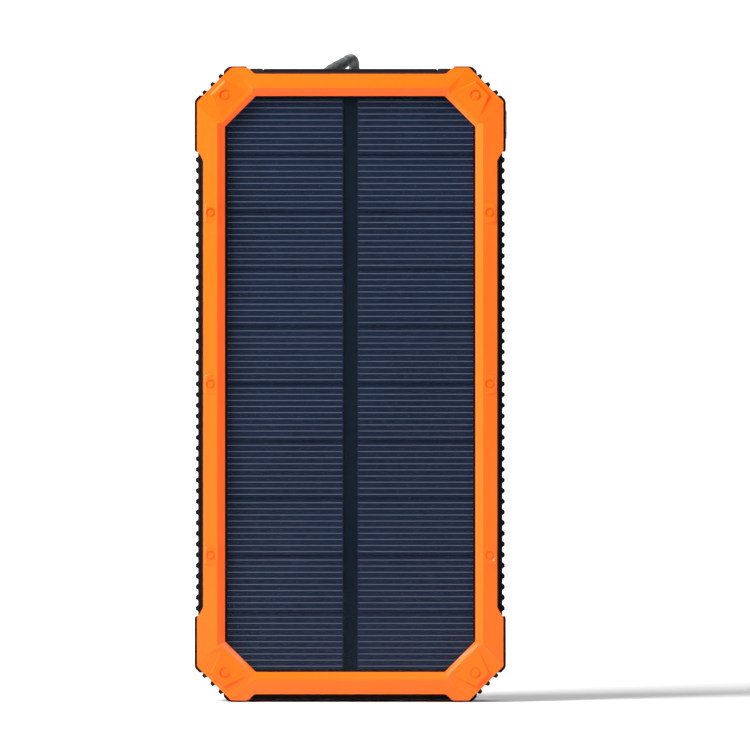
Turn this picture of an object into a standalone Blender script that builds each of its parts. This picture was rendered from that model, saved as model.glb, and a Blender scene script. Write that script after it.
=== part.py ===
"""Rugged solar phone charger: a handheld power bank with a solar panel in an
orange front bezel, a black rear shell with rubber corners and side grips, a
port cover on the top end and a wrist cord.

Everything is measured from the middle of the case (x to the right, y to the
back, z up) and hangs on one empty that lifts the case to stand on z = 0.
"""
import bpy
import bmesh
from math import atan2, cos, pi, radians, sin, sqrt, tan
from mathutils import Matrix, Vector

MM = 0.001
CLEARANCE = 0.3 * MM            # between pieces that touch
REACH = 5 * MM                  # how far a cutter runs past what it cuts

# Bezel, the orange front frame: half sizes of its outline
BAR_HALF_WIDTH = 36.75 * MM
BAR_HALF_HEIGHT = 77.55 * MM
BLOCK_STEP_SIDE = 1.55 * MM     # a corner block stands this far out from the side bar
BLOCK_STEP_END = 1.6 * MM       # and this far out from the top bar
BLOCK_CHAMFER = 8.55 * MM
SIDE_BLOCK_LENGTH = 20.6 * MM   # along the side, from the block's end to its slope
SIDE_BLOCK_SLOPE = 2.65 * MM
END_BLOCK_LENGTH = 12.6 * MM    # along the end, from the block's side to its slope
END_BLOCK_SLOPE = 1.8 * MM
BLOCK_ROUNDING = 0.8 * MM

# Window, ridge and pocket of the bezel
BAR_WIDTH = 5.41 * MM           # from the side bar's outer edge to the window
END_BAR_WIDTH = 5.49 * MM
WINDOW_CHAMFER = 7.7 * MM
RIDGE_INSET = 1.9 * MM          # from the window's edge out to the ridge
LIP = 1.3 * MM                  # how far the lip covers the panel's pocket
FACET_CREASE = 1.0 * MM         # width of the crease at the ridge

# Depths, front to back
CASE_DEPTH = 20.5 * MM
RIDGE_Y = -CASE_DEPTH / 2
BACK_Y = CASE_DEPTH / 2
OUTER_EDGE_DROP = 0.5 * MM
WINDOW_DROP = 1.3 * MM
LIP_THICKNESS = 0.65 * MM
COVER_THICKNESS = 0.5 * MM
CELL_THICKNESS = 0.25 * MM
SUBSTRATE_THICKNESS = 0.8 * MM
CARRIER_THICKNESS = 1.2 * MM
CARRIER_MARGIN = 1.2 * MM       # keeps the carrier clear of the screw bosses
GASKET_THICKNESS = 0.8 * MM
BEZEL_SKIRT = 2.7 * MM          # from the lip's back to the bezel's back

# Pads moulded on the bezel
PAD_RISE = 0.55 * MM
PAD_WALL = 0.5 * MM
CORNER_PAD_EDGE = 1.0 * MM      # from the chamfer to the pad's wall
CORNER_PAD_HALF = 2.3 * MM      # half of its outer edge
CORNER_PAD_LENGTH = 5.4 * MM
CORNER_PAD_SPLAY = radians(18)
PAD_SIDE_LEAN = 0.6             # how far the side walls lean, as a slope
CORNER_RING_DEPTH = 3.8 * MM    # ring's centre, in from the chamfer
SIDE_PAD_HALF = 2.1 * MM
SIDE_PAD_SPLAY = radians(13)
SIDE_PAD_END = 13.05 * MM       # from the corner block's slope to the outer side pad
SIDE_PAD_DROP = 0.06 * MM       # its top lies this far below the ridge
SIDE_PAD_SETBACK = 0.15 * MM    # from the bar's outer edge to the foot of its wall
SIDE_RING_INSET = 1.85 * MM     # ring's centre, in from the bar's edge
RING_OUTER = 1.4 * MM
RING_INNER = 0.9 * MM
SIDE_RING_OUTER = 1.15 * MM
SIDE_RING_INNER = 0.75 * MM
RING_GROOVE = 0.25 * MM

# Rear shell, grips and bumpers
SHELL_OVERHANG = 0.65 * MM      # shell's side beyond the side bar
SHELL_END_OVERHANG = 1.55 * MM  # shell's end beyond the top bar
SHELL_CHAMFER = 8.5 * MM
SHELL_CORNER_DROP = 1.2 * MM    # the end steps down under the bumpers
SHELL_STEP_SLOPE = 0.2 * MM
SHELL_ROUNDING = 0.8 * MM
SHELL_BACK_BEVEL = 1.0 * MM
WALL = 1.8 * MM
END_WALL = 3.3 * MM             # holds the port cover's recess
BACK_PANEL_INSET = 9.0 * MM
BACK_PANEL_DEPTH = 0.4 * MM
BUMPER_THICKNESS = 1.3 * MM
BUMPER_END_THICKNESS = 1.4 * MM
BUMPER_CHAMFER_THICKNESS = 1.4 * MM
CHAMFER_END_RISE = 0.9 * MM     # the bumper's corners stand out past its chamfer
CHAMFER_END_LENGTH = 2.4 * MM
BUMPER_ROUNDING = 1.6 * MM
BUMPER_BACK = 1.6 * MM          # from the bumper's back to the case's back
GRIP_THICKNESS = 0.45 * MM
GRIP_BACK = 2.6 * MM
RIB_HEIGHT = 0.6 * MM
RIB_ROOT = 1.4 * MM
RIB_TIP = 0.8 * MM
RIB_PITCH = 2.68 * MM
CHAMFER_RIB_COUNT = 3
CHAMFER_RIB_PITCH = 2.85 * MM
CHAMFER_RIB_HEIGHT = 0.75 * MM

# Solar cells
CELL_ROWS = 10
CELL_GAP = 0.3 * MM
COLUMN_GAP = 3.5 * MM
CELL_EDGE = 0.35 * MM           # from the window's edge to the cells

# Screws
SCREW_RADIUS = 1.2 * MM
SCREW_HEAD_RADIUS = 2.2 * MM
SCREW_HEAD_HEIGHT = 1.3 * MM
SCREW_SINK = 0.7 * MM           # head below the case's back
SCREW_SLOT = (1.2 * MM, 0.25 * MM, 0.6 * MM)
SCREW_SKIN = 1.0 * MM           # bezel left in front of a screw's hole
BOSS_RADIUS = 2.9 * MM
BOSS_SETBACK = 0.2 * MM
CORNER_SCREW_INSET = 6.8 * MM   # from the shell's side
CORNER_SCREW_DROP = 6.3 * MM    # from the shell's corner end
SIDE_SCREW_INSET = 3.0 * MM

# Ports and their cover
FLAP_WIDTH = 43.4 * MM
FLAP_LENGTH = 7.6 * MM
FLAP_THICKNESS = 1.2 * MM
FLAP_SIDE_WALL = 1.8 * MM       # least shell beside the cover
FLAP_FRONT = 1.0 * MM           # from the shell's front to the flap
FLAP_LIP_DROP = 0.8 * MM        # the recess is open to the front above this
NAIL_NOTCH = (13.0 * MM, 7.0 * MM, 1.2 * MM)
PORT_Y = 0.45 * MM
USB_A_X = 13.0 * MM
USB_A_SIZE = (13.1 * MM, 5.7 * MM, 13.8 * MM)
USB_A_WALL = 0.4 * MM
USB_A_TONGUE = 1.8 * MM
MICRO_SIZE = (7.8 * MM, 3.0 * MM, 5.6 * MM)
MICRO_WALL = 0.3 * MM
MICRO_TONGUE = 0.7 * MM
TONGUE_SHARE = 0.78             # of the port's width

# Power button and its switch
BUTTON_DROP = 12.7 * MM         # from the shell's corner end
BUTTON_LENGTH = 7.1 * MM
BUTTON_WIDTH = 4.0 * MM
BUTTON_PROUD = 0.4 * MM
BUTTON_Y = 1.6 * MM
BUTTON_TRAVEL = 0.5 * MM
BUTTON_FLANGE = 0.8 * MM
BUTTON_FLANGE_RISE = 0.7 * MM   # past the cap, towards the front and the back
SWITCH_SIZE = (4.0 * MM, 3.0 * MM, 4.2 * MM)

# Torch and charge lights on the back
LED_HALF = 1.8 * MM
LED_HEIGHT = 1.0 * MM
TORCH_X = 17.5 * MM
TORCH_RISE = 14.0 * MM          # torch and charge lights, above the board's foot
TORCH_RADIUS = 4.6 * MM
TORCH_LENS = 1.2 * MM
TORCH_SINK = 0.3 * MM
LIGHTS_X = -17.5 * MM
LIGHTS_WIDTH = 14.0 * MM
LIGHTS_HEIGHT = 2.4 * MM

# Battery, foam and circuit board
BATTERY_MARGIN = 0.8 * MM       # between the battery and the screw bosses
BATTERY_BOARD_GAP = 4.0 * MM
BATTERY_THICKNESS = 5.1 * MM
BATTERY_ROUNDING = 2.0 * MM
FOAM_GAP = 0.8 * MM              # from the foam to the shell's back wall
BOARD_LENGTH = 28.0 * MM
BOARD_THICKNESS = 1.2 * MM
INDUCTOR = 7.0 * MM
INDUCTOR_HEIGHT = 3.6 * MM
INDUCTOR_X = 13.0 * MM
INDUCTOR_RISE = 7.0 * MM        # above the board's foot
WIRE_SLOT = (4.0 * MM, 2.0 * MM)
LEAD_RADIUS = 0.6 * MM
LEAD_SPACING = 2.0 * MM
LEAD_RISE = 5.0 * MM            # above the board's foot
BATTERY_LEAD_X = 14.0 * MM
GASKET_WIDTH = 0.6 * MM
GASKET_CHAMFER = 7.6 * MM

# Wrist cord, its anchor, its pin and the bead on it
CORD_DIAMETER = 2.8 * MM
RECESS_X = (-13.0 * MM, 0.2 * MM)
RECESS_DEPTH = 3.8 * MM         # from the case's back
RECESS_HEIGHT = 8.6 * MM        # from the shell's top
RECESS_WALL = 1.3 * MM
PIN_RADIUS = 0.9 * MM
PIN_SEAT = 1.2 * MM
ANCHOR_SIZE = (7.6 * MM, 3.0 * MM, 3.4 * MM)
BEAD_SIZE = (9.6 * MM, 5.4 * MM, 8.0 * MM)
BEAD_PLAY = 0.4 * MM

ORANGE = (1.0, 0.19, 0.012)
BLACK = (0.018, 0.017, 0.02)
RUBBER = (0.015, 0.015, 0.017)
GREY = (0.32, 0.34, 0.36)
NAVY = (0.012, 0.022, 0.06)
WHITE = (0.75, 0.75, 0.72)
STEEL = (0.55, 0.55, 0.57)
GREEN = (0.02, 0.16, 0.06)
SILVER = (0.72, 0.73, 0.75)

# Places worked out from the sizes above
BLOCK_HALF_WIDTH = BAR_HALF_WIDTH + BLOCK_STEP_SIDE
BLOCK_HALF_HEIGHT = BAR_HALF_HEIGHT + BLOCK_STEP_END
SIDE_PAD_SPACING = BLOCK_HALF_HEIGHT - SIDE_BLOCK_LENGTH - SIDE_BLOCK_SLOPE - SIDE_PAD_END
WINDOW_HALF_WIDTH = BAR_HALF_WIDTH - BAR_WIDTH
WINDOW_HALF_HEIGHT = BAR_HALF_HEIGHT - END_BAR_WIDTH
RIDGE_HALF_WIDTH = WINDOW_HALF_WIDTH + RIDGE_INSET
RIDGE_HALF_HEIGHT = WINDOW_HALF_HEIGHT + RIDGE_INSET
FACET_Y = RIDGE_Y + OUTER_EDGE_DROP
LIP_Y = RIDGE_Y + WINDOW_DROP
LIP_BACK_Y = LIP_Y + LIP_THICKNESS
COVER_Y = LIP_BACK_Y + CLEARANCE
CELL_Y = COVER_Y + COVER_THICKNESS + CLEARANCE
SUBSTRATE_Y = CELL_Y + CELL_THICKNESS + CLEARANCE
BEZEL_BACK_Y = LIP_BACK_Y + BEZEL_SKIRT
CARRIER_Y = SUBSTRATE_Y + SUBSTRATE_THICKNESS + CLEARANCE
GASKET_Y = BEZEL_BACK_Y + CLEARANCE
SHELL_Y = GASKET_Y + GASKET_THICKNESS + CLEARANCE
INNER_BACK_Y = BACK_Y - WALL
SHELL_HALF_WIDTH = BAR_HALF_WIDTH + SHELL_OVERHANG
SHELL_HALF_HEIGHT = BAR_HALF_HEIGHT + SHELL_END_OVERHANG
SHELL_CORNER_HEIGHT = SHELL_HALF_HEIGHT - SHELL_CORNER_DROP
SHELL_STEP_X = max(BLOCK_HALF_WIDTH - END_BLOCK_LENGTH,
                   FLAP_WIDTH / 2 + CLEARANCE + FLAP_SIDE_WALL)
BUMPER_HALF_WIDTH = SHELL_HALF_WIDTH + CLEARANCE + BUMPER_THICKNESS
HALF_HEIGHT = SHELL_CORNER_HEIGHT + CLEARANCE + BUMPER_END_THICKNESS
CAVITY_HALF_WIDTH = SHELL_HALF_WIDTH - WALL
CAVITY_TOP = SHELL_HALF_HEIGHT - END_WALL
CAVITY_BOTTOM = WALL - SHELL_HALF_HEIGHT
BATTERY_Y = CARRIER_Y + CARRIER_THICKNESS + CLEARANCE
REAR_BATTERY_Y = BATTERY_Y + BATTERY_THICKNESS + CLEARANCE
FOAM_Y = REAR_BATTERY_Y + BATTERY_THICKNESS + CLEARANCE
USB_BACK_Y = PORT_Y + USB_A_SIZE[1] / 2
BOARD_Y = USB_BACK_Y + CLEARANCE
FLAP_Y = SHELL_Y + FLAP_FRONT
FLAP_BACK_Y = FLAP_Y + FLAP_LENGTH
FLAP_BOTTOM = SHELL_HALF_HEIGHT - FLAP_THICKNESS
HINGE_Y = FLAP_Y + FLAP_THICKNESS / 2
HINGE_Z = SHELL_HALF_HEIGHT - FLAP_THICKNESS / 2
PORT_MOUTH = FLAP_BOTTOM - 2 * CLEARANCE
RECESS_Y = BACK_Y - RECESS_DEPTH
RECESS_FLOOR = SHELL_HALF_HEIGHT - RECESS_HEIGHT
ANCHOR_X = (RECESS_X[0] + RECESS_X[1]) / 2
CORNER_SCREW = (SHELL_HALF_WIDTH - CORNER_SCREW_INSET, SHELL_CORNER_HEIGHT - CORNER_SCREW_DROP)
SIDE_SCREW = (SHELL_HALF_WIDTH - SIDE_SCREW_INSET, 0.0)
PIN_Y = RECESS_Y + CLEARANCE + ANCHOR_SIZE[1] / 2
PIN_Z = RECESS_FLOOR + CLEARANCE + ANCHOR_SIZE[2] / 2
BOSS_FRONT_Y = SHELL_Y + BOSS_SETBACK
SWITCH_X = (CAVITY_HALF_WIDTH - CLEARANCE - BUTTON_FLANGE - BUTTON_TRAVEL - CLEARANCE
            - SWITCH_SIZE[0])
PORTS = [("usb_a_port_left", -USB_A_X, USB_A_SIZE), ("usb_a_port_right", USB_A_X, USB_A_SIZE),
         ("micro_usb_port", 0.0, MICRO_SIZE)]
BUTTON_Z = SHELL_CORNER_HEIGHT - BUTTON_DROP
BATTERY_HALF_WIDTH = SIDE_SCREW[0] - BOSS_RADIUS - BATTERY_MARGIN
BATTERY_BOTTOM = BOSS_RADIUS + BATTERY_MARGIN - CORNER_SCREW[1]
BOARD_HALF_WIDTH = CORNER_SCREW[0] - BOSS_RADIUS - BATTERY_MARGIN
BOARD_TOP = CAVITY_TOP - 2 * CLEARANCE
BOARD_BOTTOM = BOARD_TOP - BOARD_LENGTH
BATTERY_TOP = BOARD_BOTTOM - BATTERY_BOARD_GAP
TORCH_Z = BOARD_BOTTOM + TORCH_RISE
LIGHTS_Z = TORCH_Z
INDUCTOR_Z = BOARD_BOTTOM + INDUCTOR_RISE
LEAD_Z = BOARD_BOTTOM + LEAD_RISE
HEAD_Y = BACK_Y - SCREW_SINK - SCREW_HEAD_HEIGHT
SCREWS = [
    ("top_left", -CORNER_SCREW[0], CORNER_SCREW[1]),
    ("top_right", CORNER_SCREW[0], CORNER_SCREW[1]),
    ("middle_left", -SIDE_SCREW[0], SIDE_SCREW[1]),
    ("middle_right", SIDE_SCREW[0], SIDE_SCREW[1]),
    ("bottom_left", -CORNER_SCREW[0], -CORNER_SCREW[1]),
    ("bottom_right", CORNER_SCREW[0], -CORNER_SCREW[1]),
]

# Route of the wrist cord, from the anchor over the top, down the back, round
# and up again to the anchor: x, y, z in millimetres from the middle of the case
CORD_ROUTE = [
    (-7.2, 8.25, 74.9), (-7.1, 8.3, 76.6), (-6.3, 8.5, 78.1), (-4.5, 9.0, 79.5),
    (-1.8, 10.3, 81.0), (0.1, 13.2, 82.1), (0.8, 16.6, 81.1), (0.9, 18.9, 78.0),
    (0.7, 19.1, 73.6), (-0.6, 17.6, 68.2), (-2.6, 15.4, 63.0),
    (-3.1, 14.7, 59.0), (-3.1, 14.7, 55.0), (-3.1, 14.7, 50.0), (0.4, 14.6, 36.0),
    (4.6, 14.4, 16.0),
    (7.0, 14.2, -8.0), (7.4, 14.2, -28.0), (5.6, 14.2, -44.0), (1.2, 14.3, -53.4),
    (-5.0, 14.4, -57.2), (-11.2, 14.3, -53.4), (-15.6, 14.2, -44.0), (-17.4, 14.2, -28.0),
    (-17.0, 14.2, -8.0), (-14.8, 14.4, 16.0), (-10.8, 14.6, 36.0), (-7.6, 14.7, 50.0),
    (-7.6, 14.7, 55.0), (-7.6, 14.7, 59.0), (-7.3, 15.7, 64.4), (-6.0, 15.8, 69.3),
    (-4.8, 13.4, 72.1), (-4.3, 10.5, 72.6),
]
BEAD_Z = 55.0 * MM
CORD_SPACING = 2 * CORD_DIAMETER


def clear_scene():
    for thing in list(bpy.data.objects):
        bpy.data.objects.remove(thing, do_unlink=True)


def new_collection(name):
    group = bpy.data.collections.new(name)
    bpy.context.scene.collection.children.link(group)
    return group


def new_material(name, colour, roughness, metallic=0.0):
    made = bpy.data.materials.new(name)
    made.use_nodes = True
    made.diffuse_color = (*colour, 1.0)
    shader = made.node_tree.nodes["Principled BSDF"]
    shader.inputs["Base Color"].default_value = (*colour, 1.0)
    shader.inputs["Roughness"].default_value = roughness
    shader.inputs["Metallic"].default_value = metallic
    return made


def put(name, mesh, material=None, cutter=False):
    """Makes the object and hangs it on the case's empty."""
    thing = bpy.data.objects.new(name, mesh)
    if cutter:
        CUTTERS.objects.link(thing)
        thing.hide_render = True
        thing.display_type = "WIRE"
    else:
        PARTS.objects.link(thing)
        mesh.materials.append(material)
    thing.parent = CASE
    return thing


def from_bmesh(name, shape, material=None, cutter=False):
    bmesh.ops.recalc_face_normals(shape, faces=shape.faces)
    mesh = bpy.data.meshes.new(name)
    shape.to_mesh(mesh)
    shape.free()
    return put(name, mesh, material, cutter)


def four_way(quadrant):
    """Mirrors the points of one quarter, side to end, into a whole outline."""
    back = quadrant[::-1]
    return (list(quadrant) + [(-x, z) for x, z in back]
            + [(-x, -z) for x, z in quadrant] + [(x, -z) for x, z in back])


def octagon(half_width, half_height, chamfer):
    return four_way([(half_width, half_height - chamfer), (half_width - chamfer, half_height)])


def inset_octagon(half_width, half_height, chamfer, inset):
    """The octagon with every side moved in by the same distance."""
    return octagon(half_width - inset, half_height - inset, chamfer - inset * (2 - sqrt(2)))


def rectangle(x_low, z_low, x_high, z_high):
    return [(x_high, z_low), (x_high, z_high), (x_low, z_high), (x_low, z_low)]


def corner_arc(previous, corner, following, radius, steps=3):
    """Points on the arc that rounds one corner, kept to under half of each side."""
    before = Vector(previous) - Vector(corner)
    after = Vector(following) - Vector(corner)
    half_angle = before.angle(after) / 2
    reach = min(radius / tan(half_angle), before.length / 2.1, after.length / 2.1)
    bisector = (before.normalized() + after.normalized()).normalized()
    centre = Vector(corner) + bisector * reach / cos(half_angle)
    start = Vector(corner) + before.normalized() * reach - centre
    end = Vector(corner) + after.normalized() * reach - centre
    angle = atan2(start.y, start.x)
    turn = (atan2(end.y, end.x) - angle + pi) % (2 * pi) - pi
    return [(centre.x + start.length * cos(angle + turn * step / steps),
             centre.y + start.length * sin(angle + turn * step / steps))
            for step in range(steps + 1)]


def rounded(outline, radius):
    """Replaces each corner of the outline by an arc."""
    points = []
    for i, corner in enumerate(outline):
        points += corner_arc(outline[i - 1], corner, outline[(i + 1) % len(outline)], radius)
    return points


def plate(name, outline, front, back, material=None, cutter=False):
    """A flat shape, its outline in x and z, from the front to the back in y."""
    shape = bmesh.new()
    face = shape.faces.new([shape.verts.new((x, front, z)) for x, z in outline])
    pulled = bmesh.ops.extrude_face_region(shape, geom=[face], use_keep_orig=True)
    corners = [part for part in pulled["geom"] if isinstance(part, bmesh.types.BMVert)]
    bmesh.ops.translate(shape, verts=corners, vec=(0, back - front, 0))
    return from_bmesh(name, shape, material, cutter)


def ring(name, outer, inner, front, back, material):
    """A flat ring between two outlines, from the front to the back in y."""
    curve = bpy.data.curves.new(name, "CURVE")
    curve.dimensions = "2D"
    curve.fill_mode = "BOTH"
    curve.extrude = (back - front) / 2
    for outline in (outer, inner):
        spline = curve.splines.new("POLY")
        spline.points.add(len(outline) - 1)
        for point, (x, z) in zip(spline.points, outline):
            point.co = (x, z, 0, 1)
        spline.use_cyclic_u = True
    guide = bpy.data.objects.new(name + "_guide", curve)
    PARTS.objects.link(guide)
    bpy.context.view_layer.update()
    drawn = guide.evaluated_get(bpy.context.evaluated_depsgraph_get())
    shape = bmesh.new()
    shape.from_mesh(bpy.data.meshes.new_from_object(drawn))
    bpy.data.objects.remove(guide, do_unlink=True)
    bmesh.ops.remove_doubles(shape, verts=shape.verts, dist=0.001 * MM)
    upright = Matrix.Translation((0, (front + back) / 2, 0)) @ Matrix.Rotation(pi / 2, 4, "X")
    bmesh.ops.transform(shape, matrix=upright, verts=shape.verts)
    return from_bmesh(name, shape, material)


def block(name, low, high, material=None, cutter=False, planes=()):
    """A box between two corners, cut flat by planes: each a point and the way out."""
    size = Vector(high) - Vector(low)
    middle = (Vector(high) + Vector(low)) / 2
    shape = bmesh.new()
    bmesh.ops.create_cube(shape, size=1,
                          matrix=Matrix.Translation(middle) @ Matrix.Diagonal((*size, 1)))
    for point, normal in planes:
        whole = shape.verts[:] + shape.edges[:] + shape.faces[:]
        bmesh.ops.bisect_plane(shape, geom=whole, plane_co=point,
                               plane_no=Vector(normal).normalized(),
                               clear_outer=True, dist=1e-7)
        rim = [edge for edge in shape.edges if edge.is_boundary]
        bmesh.ops.contextual_create(shape, geom=rim)
    return from_bmesh(name, shape, material, cutter)


def round_bar(name, centre, radius, length, axis="Y", material=None, cutter=False,
              segments=24, end_radius=None):
    """A cylinder or cone along an axis, from its centre's low end upwards."""
    turns = {"X": Matrix.Rotation(pi / 2, 4, "Y"), "Y": Matrix.Rotation(-pi / 2, 4, "X"),
             "Z": Matrix.Identity(4)}
    shape = bmesh.new()
    bmesh.ops.create_cone(shape, cap_ends=True, segments=segments, radius1=radius,
                          radius2=radius if end_radius is None else end_radius, depth=length,
                          matrix=Matrix.Translation(centre) @ turns[axis]
                          @ Matrix.Translation((0, 0, length / 2)))
    thing = from_bmesh(name, shape, material, cutter)
    thing.data.shade_smooth()
    thing.data.set_sharp_from_angle(angle=radians(35))
    return thing


def combine(target, others, operation, solver="EXACT"):
    for other in others:
        change = target.modifiers.new(operation.lower() + "_" + other.name, "BOOLEAN")
        change.operation = operation
        change.solver = solver
        change.object = other


def cut(target, *cutters):
    combine(target, cutters, "DIFFERENCE")


def join(target, *others):
    combine(target, others, "UNION")


def smooth_route(corners, spacing):
    """Points a set distance apart on a smooth curve through the corners."""
    spots = [Vector(corner) for corner in corners]
    ends = [2 * spots[0] - spots[1]] + spots + [2 * spots[-1] - spots[-2]]
    fine = []
    steps = 40
    for a, b, c, d in zip(ends, ends[1:], ends[2:], ends[3:]):
        for step in range(steps):
            t = step / steps
            fine.append(((2 * b) + (c - a) * t + (2 * a - 5 * b + 4 * c - d) * t ** 2
                         + (3 * b - a - 3 * c + d) * t ** 3) / 2)
    fine.append(spots[-1])
    lengths = [0.0]
    for here, there in zip(fine, fine[1:]):
        lengths.append(lengths[-1] + (there - here).length)
    count = max(2, round(lengths[-1] / spacing))
    points = []
    place = 0
    for i in range(count + 1):
        goal = lengths[-1] * i / count
        while place < len(fine) - 2 and lengths[place + 1] < goal:
            place += 1
        share = (goal - lengths[place]) / max(lengths[place + 1] - lengths[place], 1e-9)
        points.append(fine[place].lerp(fine[place + 1], min(1.0, share)))
    return points


def tube(name, points, radius, material, sides=2):
    curve = bpy.data.curves.new(name, "CURVE")
    curve.dimensions = "3D"
    curve.bevel_depth = radius
    curve.bevel_resolution = sides
    curve.use_fill_caps = True
    spline = curve.splines.new("POLY")
    spline.points.add(len(points) - 1)
    for target, point in zip(spline.points, points):
        target.co = (*point, 1)
    thing = bpy.data.objects.new(name, curve)
    curve.materials.append(material)
    PARTS.objects.link(thing)
    thing.parent = CASE
    return thing


def bezel_outline():
    side = BLOCK_HALF_HEIGHT - SIDE_BLOCK_LENGTH
    end = BLOCK_HALF_WIDTH - END_BLOCK_LENGTH
    return four_way([
        (BAR_HALF_WIDTH, side - SIDE_BLOCK_SLOPE), (BLOCK_HALF_WIDTH, side),
        (BLOCK_HALF_WIDTH, BLOCK_HALF_HEIGHT - BLOCK_CHAMFER),
        (BLOCK_HALF_WIDTH - BLOCK_CHAMFER, BLOCK_HALF_HEIGHT),
        (end, BLOCK_HALF_HEIGHT), (end - END_BLOCK_SLOPE, BAR_HALF_HEIGHT),
    ])


def make_bezel():
    """The orange frame: made in one quarter and mirrored twice."""
    window = octagon(WINDOW_HALF_WIDTH, WINDOW_HALF_HEIGHT, WINDOW_CHAMFER)
    bezel = ring("front_bezel", rounded(bezel_outline(), BLOCK_ROUNDING), window,
                 RIDGE_Y, BEZEL_BACK_Y, PLASTIC_ORANGE)
    tilt = OUTER_EDGE_DROP / (BAR_HALF_WIDTH - RIDGE_HALF_WIDTH)
    ridge_leg = WINDOW_CHAMFER + RIDGE_INSET * (2 - sqrt(2))
    side_end = Vector((RIDGE_HALF_WIDTH, RIDGE_Y, RIDGE_HALF_HEIGHT - ridge_leg))
    end_side = Vector((RIDGE_HALF_WIDTH - ridge_leg, RIDGE_Y, RIDGE_HALF_HEIGHT))
    out = REACH + BLOCK_STEP_SIDE
    far = (BLOCK_HALF_WIDTH + out, FACET_Y + out, BLOCK_HALF_HEIGHT + out)
    near = RIDGE_Y - out
    cut(bezel,
        block("side_bar_slope", (0, near, -out), far, cutter=True, planes=[
            (side_end, (-tilt, 1, 0)), (side_end, (-1, 0, 1)), (side_end, (-1, 0, 0))]),
        block("end_bar_slope", (-out, near, 0), far, cutter=True, planes=[
            (end_side, (0, 1, -tilt)), (end_side, (1, 0, -1)), (end_side, (0, 0, -1))]))
    cut(bezel, facet_cutter(side_end, end_side, near, far))
    slope = RIDGE_INSET / WINDOW_DROP
    cut(bezel, octagon_cone("window_slope",
                            (WINDOW_HALF_WIDTH, WINDOW_HALF_HEIGHT, WINDOW_CHAMFER),
                            [(near, (near - LIP_Y) * slope), (LIP_Y, 0.0)]))
    pocket = inset_octagon(WINDOW_HALF_WIDTH, WINDOW_HALF_HEIGHT, WINDOW_CHAMFER, -LIP)
    cut(bezel, plate("panel_pocket", pocket, LIP_BACK_Y, BEZEL_BACK_Y + REACH, cutter=True))
    add_pads(bezel)
    for name, x, z in SCREWS:
        if x > 0 and z >= 0:
            hole = SCREW_RADIUS + CLEARANCE
            front = FACET_Y + SCREW_SKIN
            cut(bezel, round_bar("bezel_hole_" + name, (x, front, z), hole,
                                 BEZEL_BACK_Y + REACH - front, cutter=True))
    mirror = bezel.modifiers.new("four_quarters", "MIRROR")
    mirror.use_axis = (True, False, True)
    mirror.use_bisect_axis = (True, False, True)
    mirror.merge_threshold = 0.001 * MM
    mirror.bisect_threshold = 0.001 * MM


def facet_cutter(side_end, end_side, near, far):
    """Lowers the corner to a level facet that meets the bars in sloped creases."""
    step = FACET_CREASE / sqrt(2)
    foot = Vector((RIDGE_HALF_WIDTH - step, FACET_Y, side_end.z + step))
    outer = Vector((BAR_HALF_WIDTH, FACET_Y, side_end.z + BAR_HALF_WIDTH - RIDGE_HALF_WIDTH))
    side_normal = (outer - side_end).cross(foot - side_end)
    end_foot = Vector((end_side.x + step, FACET_Y, RIDGE_HALF_HEIGHT - step))
    end_outer = Vector((end_side.x + BAR_HALF_HEIGHT - RIDGE_HALF_HEIGHT, FACET_Y,
                        BAR_HALF_HEIGHT))
    end_normal = (end_outer - end_side).cross(end_foot - end_side)
    if side_normal.z > 0:
        side_normal.negate()
    if end_normal.x > 0:
        end_normal.negate()
    low = (end_side.x - FACET_CREASE - RIDGE_INSET, near, side_end.z - FACET_CREASE - RIDGE_INSET)
    return block("corner_facet", low, (far[0], FACET_Y, far[2]), cutter=True,
                 planes=[(side_end, side_normal), (end_side, end_normal)])


def octagon_cone(name, size, rings):
    """A solid between two octagons, each at a depth and with its own inset."""
    shape = bmesh.new()
    front, back = [[shape.verts.new((x, y, z)) for x, z in inset_octagon(*size, inset)]
                   for y, inset in rings]
    shape.faces.new(front)
    shape.faces.new(back)
    for i in range(len(front)):
        j = (i + 1) % len(front)
        shape.faces.new((front[i], front[j], back[j], back[i]))
    return from_bmesh(name, shape, cutter=True)


def corner_pad(edge, out, along):
    """A wedge that rises outwards from the facet to a steep outer wall."""
    forward = Vector((0, -1, 0))
    crest = edge + forward * PAD_RISE
    splay = out * sin(CORNER_PAD_SPLAY) + forward * PAD_SIDE_LEAN
    turn = along * cos(CORNER_PAD_SPLAY)
    reach = CORNER_PAD_LENGTH + CORNER_PAD_HALF
    low = (edge.x - reach, crest.y - MM, edge.z - reach)
    high = (edge.x + reach, edge.y + MM, edge.z + reach)
    return block("corner_pad", low, high, cutter=True, planes=[
        (crest, forward * CORNER_PAD_LENGTH - out * PAD_RISE),
        (crest, out * PAD_RISE + forward * PAD_WALL),
        (edge - out * (CORNER_PAD_LENGTH + PAD_WALL), -out),
        (crest + along * CORNER_PAD_HALF, splay + turn),
        (crest - along * CORNER_PAD_HALF, splay - turn)])


def side_pad(name, height):
    """A pad level with the ridge, on the falling face of the side bar."""
    forward = Vector((0, -1, 0))
    right = Vector((1, 0, 0))
    turn = Vector((0, 0, cos(SIDE_PAD_SPLAY)))
    top = RIDGE_Y + SIDE_PAD_DROP
    tip = Vector((BAR_HALF_WIDTH - SIDE_PAD_SETBACK - PAD_WALL, top, height))
    splay = right * sin(SIDE_PAD_SPLAY) + forward * PAD_SIDE_LEAN
    reach = Vector((0, 0, SIDE_PAD_HALF * 3))
    low = Vector((RIDGE_HALF_WIDTH - MM / 4, top, height)) - reach
    high = Vector((BAR_HALF_WIDTH, FACET_Y + MM, height)) + reach
    return block(name, low, high, cutter=True, planes=[
        (tip, right * (OUTER_EDGE_DROP - SIDE_PAD_DROP) + forward * PAD_WALL),
        (tip + Vector((0, 0, SIDE_PAD_HALF)), splay + turn),
        (tip - Vector((0, 0, SIDE_PAD_HALF)), splay - turn)])


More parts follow.
